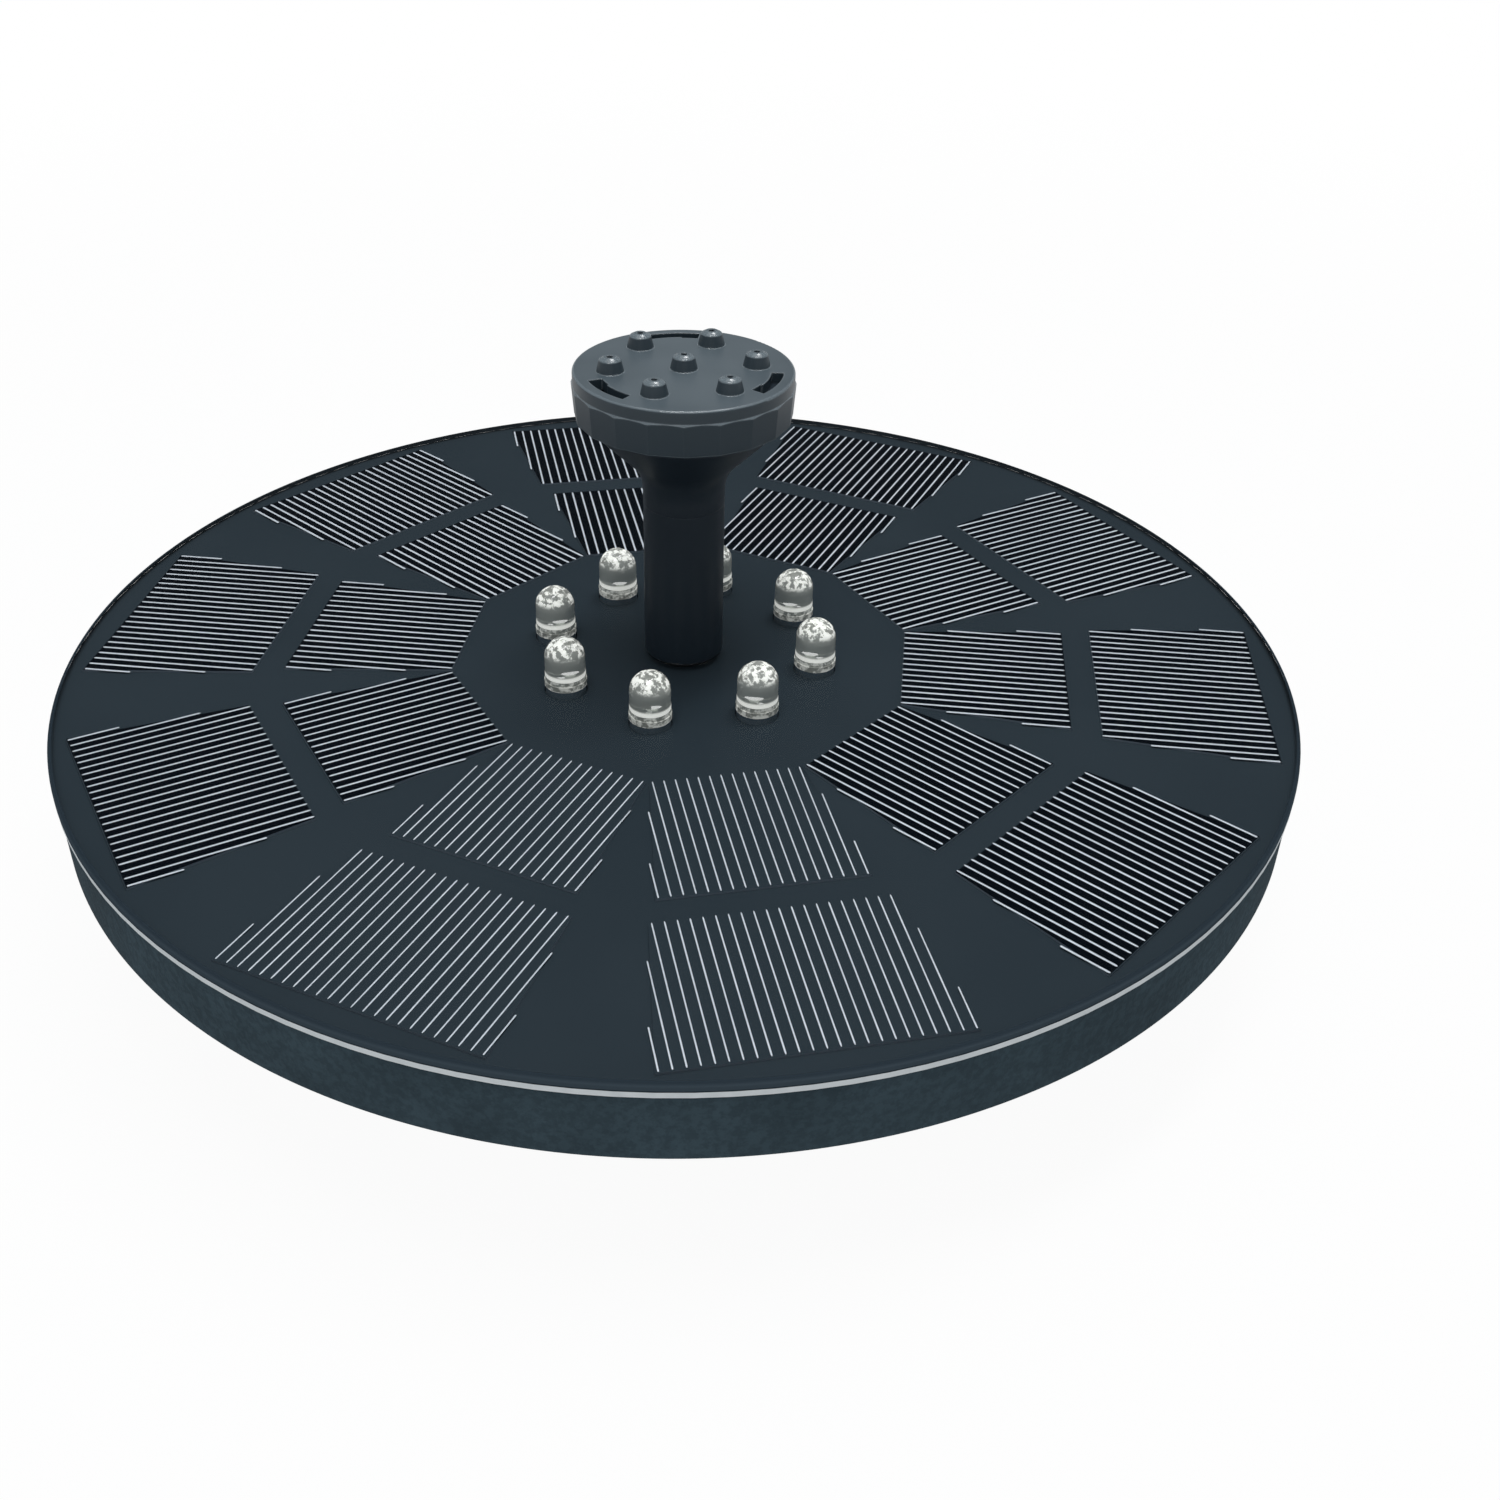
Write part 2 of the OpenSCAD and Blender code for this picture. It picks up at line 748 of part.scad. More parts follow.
module pump_housing() {
  pocket_x = volute_r + 1.2;
  pocket_w = pump_w / 2 - lip_inset - pump_wall - pocket_x;
  pocket_h = pump_h - 2 * pump_round;
  middle_y = (cover_y + rear_y) / 2;
  color("#32383b") difference() {
    union() {
      along_y(rear_y, cover_y) pump_profile();
      along_y(cover_y - eps, cover_y + lip_l) pump_profile(lip_inset);
      pump_neck();
    }
    // the motor's room, with the rotor's well left standing in it
    along_y(rear_y - eps, motor_front_y) difference() {
      round_rect(inner_w, inner_h, inner_round);
      circle(shell_r);
    }
    // the impeller chamber and the seat of its cover
    along_y(-chamber_back, cover_y + lip_l + 1) circle(chamber_r);
    along_y(volute_y, cover_y + lip_l + 1) circle(volute_r);
    // the rotor's well and the seat of its bush
    along_y(well_y, 0) circle(well_r);
    along_y(bush_floor_y, well_y + 1) circle(bush_r + fit);
    // the moulding's pockets beside the chamber
    for (x = [-1, 1])
      along_y(0, cover_y + lip_l + 1)
        translate([x * (pocket_x + pocket_w / 2), 0]) square([pocket_w, pocket_h], center = true);
    // the way out through the neck
    translate([0, 0, pump_mid]) cylinder(d = water_d, h = neck_top);
    translate([0, 0, neck_top - ring_drop]) ring_groove();
    skin_band(rear_y - eps, rear_y + seam, seam);
    for (i = [0 : grooves - 1])
      grip_groove(middle_y + (i - (grooves - 1) / 2) * groove_pitch);
  }
}

module neck_oring() {
  color("#101214") translate([0, 0, neck_top - ring_drop]) rubber_ring();
}

module strainer_cover() {
  color("#363d41") difference() {
    translate([0, cover_y + seam, pump_mid]) rotate([-90, 0, 0])
      soft_block(pump_w, pump_h, pump_round, cover_round, cover_l - seam);
    along_y(cover_y, pump_front - pump_wall) pump_profile(cover_inset);
    along_y(pump_front - pump_wall - 1, pump_front + 1) difference() {
      round_rect(window_w, window_h, window_round);
      for (i = [0 : slats - 1])
        translate([0, (i - (slats - 1) / 2) * slat_pitch])
          square([window_w + 1, slat_t], center = true);
    }
  }
}

module rear_cap() {
  color("#32383b") difference() {
    translate([0, rear_y, pump_mid]) rotate([90, 0, 0])
      soft_block(pump_w, pump_h, pump_round, rear_round, rear_cap_l);
    along_y(potting_back_y, rear_y + 1) round_rect(inner_w, inner_h, inner_round);
    translate([-pump_w / 2 - 1, grommet_y, pump_mid]) rotate([0, 90, 0])
      cylinder(r = grommet_shank_r + fit, h = pump_wall + 2);
  }
}

// ---- the impeller and its bearings ----

module impeller_cover() {
  color("#3d4448") {
    along_y(volute_y, volute_front_y) difference() {
      circle(volute_r - fit);
      circle(d = inlet_d);
    }
    along_y(volute_y, volute_front_y) difference() {
      for (a = [90, 210, 330]) rotate(a) translate([0, -0.6]) square([inlet_d / 2 + 0.5, 1.2]);
      circle(boss_r - 0.3);
    }
    along_y(bush_front_y, shaft_front_y) difference() {
      circle(boss_r);
      circle(front_bush_r + fit);
    }
    along_y(shaft_front_y, volute_front_y) circle(boss_r);
  }
}

module impeller() {
  boss = impeller_boss_d / 2;
  blade_start = boss - 0.4;
  color("#d8dcdc") {
    along_y(disc_back_y, disc_front_y) difference() {
      circle(impeller_r);
      circle(shaft_bore_r);
    }
    along_y(disc_front_y - eps, hub_front_y) difference() {
      circle(boss);
      circle(shaft_bore_r);
    }
    along_y(disc_front_y - eps, hub_front_y - 0.6)
      for (i = [0 : blades - 1])
        rotate(i * 360 / blades) translate([blade_start, -blade_t / 2])
          square([impeller_r - 0.1 - blade_start, blade_t]);
  }
}

module rotor_magnet() {
  color("#3a3a3c") along_y(magnet_back_y, disc_back_y) difference() {
    circle(magnet_r);
    circle(shaft_bore_r);
  }
}

module shaft() {
  color("#e8e8e6") along_y(bush_floor_y, shaft_front_y) circle(d = shaft_d);
}

module bush(r) {
  difference() {
    circle(r);
    circle(shaft_bore_r);
  }
}

module front_bush() {
  color("#1a1a1a") along_y(bush_front_y, shaft_front_y) bush(front_bush_r);
}

module rear_bush() {
  color("#1a1a1a") along_y(bush_floor_y, bush_back_y) bush(bush_r);
}

// ---- the stator and the electronics behind it ----

module core_bars() {
  bar_l = motor_y + shoe_l / 2 - core_back_y;
  for (x = [-1, 1]) {
    translate([x * (bar_x + core_t / 2), core_back_y + bar_l / 2, pump_mid])
      cube([core_t, bar_l, core_h], center = true);
    translate([x * (shoe_r + shoe_t / 2 + bar_x) / 2, motor_y, pump_mid])
      cube([bar_x - shoe_r, limb_l, limb_h], center = true);
  }
  translate([-bar_out_x, core_back_y, pump_mid - core_h / 2]) cube([2 * bar_out_x, core_t, core_h]);
}

// Two arcs that hug the rotor's well
module pole_shoes() {
  along_y(motor_y - shoe_l / 2, motor_y + shoe_l / 2) difference() {
    circle(shoe_r + shoe_t);
    square([1.1 * shoe_r, 3 * shoe_r], center = true);
  }
}

module stator_core() {
  color("#8b8f93") difference() {
    union() {
      core_bars();
      pole_shoes();
    }
    along_y(motor_y - shoe_l, motor_y + shoe_l) circle(shoe_r);
  }
}

module coils() {
  color("#a4552a") for (x = [-1, 1])
    translate([x * (coil_x + coil_t / 2), motor_y, pump_mid]) difference() {
      cube([coil_t, coil_l, limb_h + 2 * winding], center = true);
      cube([coil_t + 1, limb_l + 2 * seat, limb_h + 2 * seat], center = true);
    }
}

// The chip's outline on the driver board
module chip(gap) {
  translate([chip_w, 0]) square([chip_w + gap, chip_h + gap], center = true);
}

module driver_board() {
  color("#2f5a3a") {
    along_y(board_back_y, core_back_y) square([driver_w, driver_h], center = true);
    along_y(board_back_y - chip_t, board_back_y + eps) chip(0);
  }
}

// The resin that seals the motor's room behind the driver board
module potting() {
  color("#26231f") difference() {
    along_y(potting_back_y, board_back_y)
      round_rect(inner_w - 2 * seat, inner_h - 2 * seat, inner_round - seat);
    along_y(board_back_y - chip_t, board_back_y + 1) chip(seat);
  }
}

// ---- the lead and its grommets ----

// A grommet in a wall at the origin, reaching out along -X
module grommet(wall) {
  translate([-grommet_l, 0, 0]) rotate([0, 90, 0])
    cylinder(r1 = lead_d / 2 + 0.05, r2 = lead_d / 2 + 0.2, h = grommet_l);
  translate([-eps, 0, 0]) rotate([0, 90, 0]) cylinder(r = grommet_shank_r, h = wall + eps);
}

module pump_grommet() {
  color("#15181a") translate([-pump_w / 2, grommet_y, pump_mid]) grommet(pump_wall);
}

module box_grommet() {
  color("#15181a") translate([box_left, box_grommet_y, box_grommet_z]) grommet(box_wall);
}

function unit(v) = v / norm(v);

// The direction of the route at point i: along the chord of its neighbours,
// and straight into a wall at each end
function route_dir(p, i) =
  (i == 0 || i == len(p) - 1)
    ? (i == 0 ? [-1, 0, 0] : [1, 0, 0])
    : unit(p[i + 1] - p[i - 1]);

function route_ring(p, i, r, sides) =
  let (d = route_dir(p, i), u = unit(cross(d, [0, 0, 1])), v = cross(d, u))
    [for (k = [0 : sides - 1]) p[i] + r * (cos(k * 360 / sides) * u + sin(k * 360 / sides) * v)];

module route_tube(p, r, sides) {
  last = len(p) - 1;
  points = [for (i = [0 : last]) each route_ring(p, i, r, sides)];
  skin = [for (i = [0 : last - 1], k = [0 : sides - 1]) let (n = (k + 1) % sides)
    [i * sides + k, (i + 1) * sides + k, (i + 1) * sides + n, i * sides + n]];
  start = [[for (k = [0 : sides - 1]) k]];
  end = [[for (k = [sides - 1 : -1 : 0]) last * sides + k]];
  polyhedron(points, concat(start, skin, end), convexity = 6);
}

module lead() {
  color("#15181a") route_tube(lead_route, lead_d / 2, 8);
}

// ---- the battery box ----

// The space that the box stands in, wider by the clearance given
module box_footprint(gap, h) {
  translate([box_left - gap, box_y - gap, 0]) cube([box_w + 2 * gap, box_l + 2 * gap, h]);
}

module battery_box() {
  color("#2d3032") difference() {
    translate([box_x, box_y + box_l / 2, board_z]) rotate([180, 0, 0])
      soft_block(box_w, box_l, box_round, 0.4, box_h);
    translate([box_x - box_w / 2 + box_wall, box_y + box_wall, box_z + box_wall])
      cube([box_w - 2 * box_wall, box_l - 2 * box_wall, box_h]);
    translate([box_left - 1, box_grommet_y, box_grommet_z]) rotate([0, 90, 0])
      cylinder(r = grommet_shank_r + fit, h = box_wall + 2);
  }
}

module box_glue() {
  color("#1b2022") difference() {
    translate([box_x, box_y + box_l / 2, board_z - bead_h]) linear_extrude(bead_h)
      round_rect(box_w + 2 * bead_w, box_l + 2 * bead_w, bead_w);
    translate([0, 0, board_z - 2 * bead_h]) box_footprint(fit, 3 * bead_h);
    translate([0, 0, board_z - 2 * bead_h]) cylinder(r = pan_r + bead_h + seat, h = 3 * bead_h);
  }
}

module battery_cell() {
  cell_y = box_y + box_l - box_wall - seat - battery_d / 2;
  color("#3c6e9e") translate([box_x - battery_l / 2, cell_y, box_z + box_wall + seat + battery_d / 2])
    rotate([0, 90, 0]) {
      cylinder(d = battery_d, h = battery_l - 1);
      cylinder(d = battery_d * 0.3, h = battery_l);
    }
}

// Charging and light control, standing against the wall on the pump's side
module charge_board() {
  color("#2f5a3a") translate([box_x - charge_w / 2, box_y + box_wall, box_z + box_wall]) {
    cube([charge_w, circuit_t, charge_h]);
    translate([charge_w / 6, circuit_t - eps, charge_h / 3]) cube([chip_w, charge_part_h, chip_h]);
    translate([charge_w * 2 / 3, circuit_t - eps, charge_h / 2]) rotate([-90, 0, 0])
      cylinder(d = capacitor_d, h = charge_part_h);
  }
}

panel_board();
inner_cells();
outer_cells();
panel_resin();
foam_ring();
hub();
hub_glue();
led_board();
led_lenses();
led_frames();
riser_tube();
riser_oring();
nozzle_funnel();
nozzle_cap();
pump_housing();
neck_oring();
strainer_cover();
impeller_cover();
impeller();
rotor_magnet();
shaft();
front_bush();
rear_bush();
stator_core();
coils();
driver_board();
potting();
rear_cap();
pump_grommet();
lead();
box_grommet();
battery_box();
box_glue();
battery_cell();
charge_board();
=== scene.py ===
# %% [markdown]
# # A floating fountain pump
# A round solar disc floats on a foam ring. Under its middle hang a small
# submersible pump and a battery box, joined by one short lead. Above it stand
# eight clear lights and a riser with a spray nozzle.
# The hard parts come from the packed CAD model and keep their shape here.
# Blender gives each of them its finish, and makes the pieces that are poured,
# printed, squeezed out or bent: the clear resin, the silver lines on the
# cells, the glue and the lead. It also turns the foam ring anew, with finer
# steps.

# %% Start from the packed frame
import math
import random

import bmesh
import bpy
from mathutils import Matrix, Vector, noise
from mathutils.geometry import interpolate_bezier, tessellate_polygon


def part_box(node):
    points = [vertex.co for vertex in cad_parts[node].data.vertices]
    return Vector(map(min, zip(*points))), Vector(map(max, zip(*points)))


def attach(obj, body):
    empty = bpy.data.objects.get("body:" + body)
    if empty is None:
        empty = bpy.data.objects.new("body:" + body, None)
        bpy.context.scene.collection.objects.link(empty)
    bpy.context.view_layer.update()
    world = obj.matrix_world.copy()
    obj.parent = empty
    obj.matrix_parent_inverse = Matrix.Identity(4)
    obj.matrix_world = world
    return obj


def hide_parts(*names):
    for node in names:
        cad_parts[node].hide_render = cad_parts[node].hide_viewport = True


MM = 0.001

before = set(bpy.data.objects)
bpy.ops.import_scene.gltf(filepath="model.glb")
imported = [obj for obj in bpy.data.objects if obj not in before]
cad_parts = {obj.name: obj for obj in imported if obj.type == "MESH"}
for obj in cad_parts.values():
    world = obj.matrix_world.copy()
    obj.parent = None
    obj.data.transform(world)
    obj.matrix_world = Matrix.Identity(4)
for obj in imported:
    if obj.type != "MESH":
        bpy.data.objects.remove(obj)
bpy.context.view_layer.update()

# %% [markdown]
# ## The camera
# The eye stands 12 cm in front of the disc's rim and as far above it, and
# looks down at 34 degrees. It is so close that the near rim looks much wider
# than the far one, and a small roll tilts the disc a little. A camera can be
# turned by three angles, but an eye and a point to aim at are easier to judge.
# The camera and the lead come first, because the last check measures how far
# a lead spreads beyond what the camera sees.

# %% Place the camera
eye = Vector((0, -210.6, 159.0)) * MM
aim = Vector((9.05, -27.77, 34.0)) * MM
roll = math.radians(1.62)
sensor_mm = 36
lens_mm = 38.9

camera = bpy.data.objects.new("camera", bpy.data.cameras.new("camera"))
bpy.context.scene.collection.objects.link(camera)
camera.data.sensor_width = sensor_mm
camera.data.lens = lens_mm
camera.data.clip_start = 5 * MM
turn = (aim - eye).to_track_quat("-Z", "Y").to_matrix().to_4x4()
camera.matrix_world = Matrix.Translation(eye) @ turn @ Matrix.Rotation(roll, 4, "Z")
bpy.context.scene.camera = camera
print("eye to aim, mm:", round((aim - eye).length / MM, 1))

# %% [markdown]
# ## The lead's line
# The lead leaves the pump's side, swings out in one loop and goes into the
# battery box. Its points are the ones that the CAD model uses, in millimetres.
# A Bezier spline with automatic handles passes through them all and gives one
# smooth line, and measuring that line gives the lead's real length.

# %% Helpers for a cord


def smooth_line(name, points, diameter):
    """A round cord through points in millimetres. Each knot holds the cord's radius."""
    curve = bpy.data.curves.new(name, "CURVE")
    curve.dimensions = "3D"
    curve.resolution_u = 10
    curve.bevel_depth = 1.0
    curve.bevel_resolution = 6
    curve.use_fill_caps = True
    spline = curve.splines.new("BEZIER")
    spline.bezier_points.add(len(points) - 1)
    for knot, place in zip(spline.bezier_points, points):
        knot.co = Vector(place) * MM
        knot.radius = diameter / 2
        knot.handle_left_type = knot.handle_right_type = "AUTO"
    piece = bpy.data.objects.new(name, curve)
    bpy.context.scene.collection.objects.link(piece)
    return piece


def line_length(piece, samples=24):
    """The length along a Bezier curve's own line, from samples between its knots."""
    bpy.context.view_layer.update()
    knots = piece.data.splines[0].bezier_points
    total = 0
    for a, b in zip(knots, knots[1:]):
        places = interpolate_bezier(a.co, a.handle_right, b.handle_left, b.co, samples)
        total += sum((q - p).length for p, q in zip(places, places[1:]))
    return total


print("a cord's helpers:", smooth_line.__name__, line_length.__name__)

# %% Bend the lead
lead_points = [
    (-16.3, -15.6, 9.75), (-19, -16, 9.5), (-23, -18, 9), (-28, -21, 9),
    (-34, -22.5, 10), (-40, -22, 11), (-45, -19, 13), (-49, -14, 15),
    (-52, -7, 16), (-53, 0, 17), (-52, 8, 18), (-50, 16, 19), (-47, 24, 20),
    (-44, 31, 20.5), (-40, 38, 21), (-35.5, 43, 21), (-30.8, 45.92, 21.11),
]
lead_d = 3.6 * MM

lead = smooth_line("lead_cord", lead_points, lead_d)
lead_length = line_length(lead)
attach(lead, "float")
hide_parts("lead")
print("lead, mm:", round(lead_length / MM, 1))

# %% [markdown]
# ## A small language for shaders
# A finish is a net of nodes: noise, masks, mixed colours and one shader at the
# end. Written node by node it takes many lines and hides the idea. So one
# class stands for a socket, and an expression such as 1 - mask adds the Math
# nodes that it needs. A second class holds a material's whole net and adds
# every other kind of node.

# %% Colours


def colour(code):
    """A colour written as six hex digits, in Blender's linear numbers."""
    parts = [int(code[i:i + 2], 16) / 255 for i in (0, 2, 4)]
    linear = [v / 12.92 if v <= 0.04045 else ((v + 0.055) / 1.055) ** 2.4 for v in parts]
    return (*linear, 1)


print("colour 808080 in linear light:", round(colour("808080")[0], 3))

# %% Signals


class Signal:
    """A shader socket. An expression on it adds the Math nodes that it needs."""

    def __init__(self, finish, socket):
        self.finish = finish
        self.socket = socket

    def __add__(self, other):
        return self.finish.maths("ADD", self, other)

    def __sub__(self, other):
        return self.finish.maths("SUBTRACT", self, other)

    def __rsub__(self, other):
        return self.finish.maths("SUBTRACT", other, self)

    def __mul__(self, other):
        return self.finish.maths("MULTIPLY", self, other)

    def __truediv__(self, other):
        return self.finish.maths("DIVIDE", self, other)

    def __rtruediv__(self, other):
        return self.finish.maths("DIVIDE", other, self)

    def __gt__(self, other):
        return self.finish.maths("GREATER_THAN", self, other)

    def __lt__(self, other):
        return self.finish.maths("LESS_THAN", self, other)

    __radd__ = __add__
    __rmul__ = __mul__


print("signals can be used with + - * / > and <")

# %% The net of a finish


class Finish:
    """The node tree of a material or of the world."""

    def __init__(self, owner):
        owner.use_nodes = True
        self.owner = owner
        self.tree = owner.node_tree
        self.tree.nodes.clear()

    def add(self, kind, settings=None, values=None, out=0):
        """Adds a node: its settings first, then its sockets' values or links."""
        node = self.tree.nodes.new("ShaderNode" + kind)
        for name, value in (settings or {}).items():
            setattr(node, name, value)
        for name, value in (values or {}).items():
            if isinstance(value, Signal):
                self.tree.links.new(value.socket, node.inputs[name])
            else:
                node.inputs[name].default_value = value
        return Signal(self, node.outputs[out]) if node.outputs else None

    def maths(self, operation, *values):
        return self.add("Math", {"operation": operation}, dict(enumerate(values)))

    def mix(self, mask, a, b):
        """Colour a where the mask is 0, colour b where it is 1."""
        values = {0: mask, 6: a, 7: b}
        return self.add("Mix", {"data_type": "RGBA"}, values, out=2)

    def blend(self, mask, a, b):
        """Shader a where the mask is 0, shader b where it is 1."""
        return self.add("MixShader", None, {0: mask, 1: a, 2: b})

    def step(self, signal, start, end):
        """A mask that goes smoothly from 0 at start to 1 at end."""
        values = {"Value": signal, "From Min": start, "From Max": end}
        return self.add("MapRange", {"interpolation_type": "SMOOTHSTEP"}, values)

    def output(self, shader, kind="OutputMaterial"):
        """Ends the net with its shader, and gives back the finished material."""
        self.add(kind, None, {"Surface": shader})
        return self.owner


def new_finish(name):
    return Finish(bpy.data.materials.new(name))


print("a finish can:", [n for n in vars(Finish) if not n.startswith("_")])

# %% Where a point lies and which way it faces


def split(vector):
    """The three numbers of a vector."""
    parts = vector.finish.add("SeparateXYZ", None, {0: vector}).socket.node.outputs
    return [Signal(vector.finish, part) for part in parts]


def place(finish):
    """The point on the surface, in the piece's own frame."""
    return finish.add("TexCoord", out="Object")


def position(finish):
    """The three coordinates of that point."""
    return split(place(finish))


def from_axis(x, y):
    """How far a point lies from the upright axis."""
    return x.finish.maths("SQRT", x * x + y * y)


def facing_up(finish, normal="Normal"):
    """1 where the surface looks up, 0 on walls, -1 where it looks down."""
    return split(finish.add("NewGeometry", out=normal))[2]


print("helpers for a finish:", [f.__name__ for f in (place, position, from_axis, facing_up)])

# %% [markdown]
# ## Light and floor
# Small dark goods are shown on white under soft light from above. A broad
# lamp lights the tops, a long narrow one draws a bright line along rounded
# edges, and a weak one stands in front. The world and the floor are white to
# the eye and through clear parts. To everything else they are dim, so that
# upright black faces stay darker than the tops and a faint shadow stays under
# the part. The floor is the brighter of the two, because it throws light back
# up at the underside. From below it is clear, so that the underside can be
# seen too. It lies a hair below the pump's flat base, because two faces in
# one plane fight over which of them shows.

# %% The world
room_light = 0.3
room_tint = (0.93, 0.97, 1, 1)
white = (1, 1, 1, 1)


def seen_white(finish):
    """1 for rays from the eye and through clear parts, else 0."""
    eye_ray = finish.add("LightPath", out="Is Camera Ray")
    clear_ray = finish.add("LightPath", out="Is Transmission Ray")
    return finish.maths("MAXIMUM", eye_ray, clear_ray)


world = bpy.data.worlds.new("studio")
bpy.context.scene.world = world
sky = Finish(world)
backdrop = sky.add("Background", None, {"Color": white, "Strength": 1.0})
dim_room = sky.add("Background", None, {"Color": room_tint, "Strength": room_light})
sky.output(sky.blend(seen_white(sky), dim_room, backdrop), "OutputWorld")
bpy.context.scene.view_settings.view_transform = "Standard"
print("world:", world.name)

# %% The floor
floor_light = 0.6
floor_tint = (0.95, 0.98, 1, 1)
paper_tone = (0.86, 0.87, 0.88, 1)
floor_size = 6
floor_gap = 0.2 * MM
shadow_share = 0.05
shadow_span = (0.2, 0.6)


def floor_finish():
    """A white sheet that keeps a faint shadow near the part and none far away."""
    finish = new_finish("pale_sheet")
    under = finish.add("NewGeometry", out="Backfacing")
    paper = finish.add("BsdfDiffuse", None, {"Color": paper_tone})
    glow = finish.add("Emission", None, {"Color": white, "Strength": 1.0})
    dim = finish.add("Emission", None, {"Color": floor_tint, "Strength": floor_light})
    clear = finish.add("BsdfTransparent")
    x, y, _ = position(finish)
    away = finish.step(from_axis(x, y), *shadow_span)
    bright = finish.blend(1 - shadow_share + shadow_share * away, paper, glow)
    lit = finish.blend(seen_white(finish), dim, bright)
    return finish.output(finish.blend(under, lit, clear))


bpy.ops.mesh.primitive_plane_add(size=floor_size, location=(0, 0, -floor_gap))
floor = bpy.context.object
floor.name = "floor"
floor.data.materials.append(floor_finish())
print("floor, mm below the pump:", round(floor_gap / MM, 2))

# %% The lamps
lit_point = Vector((0, 0, 0.03))


def soft_lamp(name, stand, width, depth, watts):
    """A flat lamp at a stand, turned to the part."""
    data = bpy.data.lights.new(name, "AREA")
    data.shape = "RECTANGLE"
    data.size = width
    data.size_y = depth
    data.energy = watts
    lamp = bpy.data.objects.new(name, data)
    bpy.context.scene.collection.objects.link(lamp)
    lamp.location = stand
    lamp.rotation_euler = (lit_point - Vector(stand)).to_track_quat("-Z", "Y").to_euler()


soft_lamp("top_lamp", (0.05, 0.1, 0.9), width=0.8, depth=0.8, watts=2.2)
soft_lamp("strip_lamp", (0.05, -0.05, 0.9), width=0.8, depth=0.12, watts=3.6)
soft_lamp("front_lamp", (-0.1, -0.7, 0.7), width=0.5, depth=0.5, watts=0.7)

# %% [markdown]
# ## Moulded plastic
# The pump, the hub, the riser, the nozzle and the battery box are injection
# mouldings in black or dark grey. Such parts have a fine even grain from the
# mould, a slightly uneven tone where the plastic flowed, and edges that handling
# has smoothed to a shine. Their edges are also painted paler as a painted
# highlight, rounded lips can take a painted highlight, and upright faces a
# painted shade. Each could have nodes of its own, but one recipe with a few
# settings keeps them alike, and only the colour, the grain and the gloss change.

# %% Noise and grain


def speckle(finish, scale, detail=2, rough=0.5):
    """Noise round one half, with about as many spots in a metre as the scale says."""
    values = {"Vector": place(finish), "Scale": scale, "Detail": detail, "Roughness": rough}
    return finish.add("TexNoise", None, values)


def blotches(finish, scale, detail, rough=0.5, start=0.3, end=0.7):
    """The same noise with its middle stretched, for patches from 0 to 1."""
    return finish.step(speckle(finish, scale, detail, rough), start, end)


def grain(finish, height, depth, normal=None):
    """A bump from a height signal, as deep as the real grain."""
    values = {"Height": height, "Strength": 1.0, "Distance": depth}
    if normal:
        values["Normal"] = normal
    return finish.add("Bump", None, values)


print("noise and grain:", [f.__name__ for f in (speckle, blotches, grain)])

# %% Masks for edges, lips and walls
bevel_samples = 4
edge_span = (0.995, 0.86)
lip_low, lip_high = (0.25, 0.45), (0.95, 0.99)
wall_span = (0.6, 0.3)


def edge_mask(finish, radius):
    """Near 1 along edges, found by rounding the surface a little, and the rounded normal."""
    rounded = finish.add("Bevel", {"samples": bevel_samples}, {"Radius": radius})
    flat = finish.add("NewGeometry", out="Normal")
    settings = {"operation": "DOT_PRODUCT"}
    alike = finish.add("VectorMath", settings, {0: rounded, 1: flat}, out="Value")
    return finish.step(alike, *edge_span), rounded


def lip_mask(finish):
    """1 where the surface leans between upright and level, as on a rounded lip."""
    up = facing_up(finish)
    return finish.step(up, *lip_low) * (1 - finish.step(up, *lip_high))


def wall_mask(finish):
    """1 on walls, 0 on level faces."""
    return finish.step(facing_up(finish), *wall_span)


print("masks:", [f.__name__ for f in (edge_mask, lip_mask, wall_mask)])

# %% The recipe for moulded plastic
grain_size = 0.25 * MM
coarse_grain = 0.012 * MM
fine_grain = 0.006 * MM
flow_scale = 45
flow_tint, flow_rough, worn_rough = 0.15, 0.12, 0.1


def moulded(name, dark, light, rough, depth=coarse_grain, edge=0.25 * MM, rub_and_highlight=0.5,
            lip_polish_and_highlight=0.0, shine=0.35, wall_shade=None):
    """Dark is the even colour and light the paler one, which the uneven tone leans to
    and which edges take from wear and from a painted highlight. The last colour, if
    given, is a painted shade on upright faces.

    Depth is the grain's, edge the width of the paled edges, and the next number the
    strength of their wear and painted highlight. The number after it says how far
    rounded lips are smoother and lighter, a painted highlight, and shine is the
    reflection's strength.
    """
    finish = new_finish(name)
    flow = blotches(finish, flow_scale, 3)
    edge_wear_and_highlight, rounded = edge_mask(finish, edge)
    base = finish.mix(flow * flow_tint, colour(dark), colour(light))
    # Upright faces take a darker colour, when one is given, as a painted shade.
    if wall_shade:
        base = finish.mix(wall_mask(finish), base, colour(wall_shade))
    # Edges are paler from wear, and this is also a painted highlight.
    base = finish.mix(edge_wear_and_highlight * rub_and_highlight, base, colour(light))
    # Rounded lips are smoother, and lighter as a painted highlight.
    polish_and_highlight = lip_mask(finish) * lip_polish_and_highlight
    base = finish.mix(polish_and_highlight, base, colour(light))
    pores = speckle(finish, 1 / grain_size, 2, 0.6)
    return finish.output(finish.add("BsdfPrincipled", None, {
        "Base Color": base,
        "Roughness": rough + flow_rough * (flow - 0.5) - worn_rough * edge_wear_and_highlight - polish_and_highlight,
        "Normal": grain(finish, pores, depth, rounded),
        "Specular IOR Level": shine,
    }))


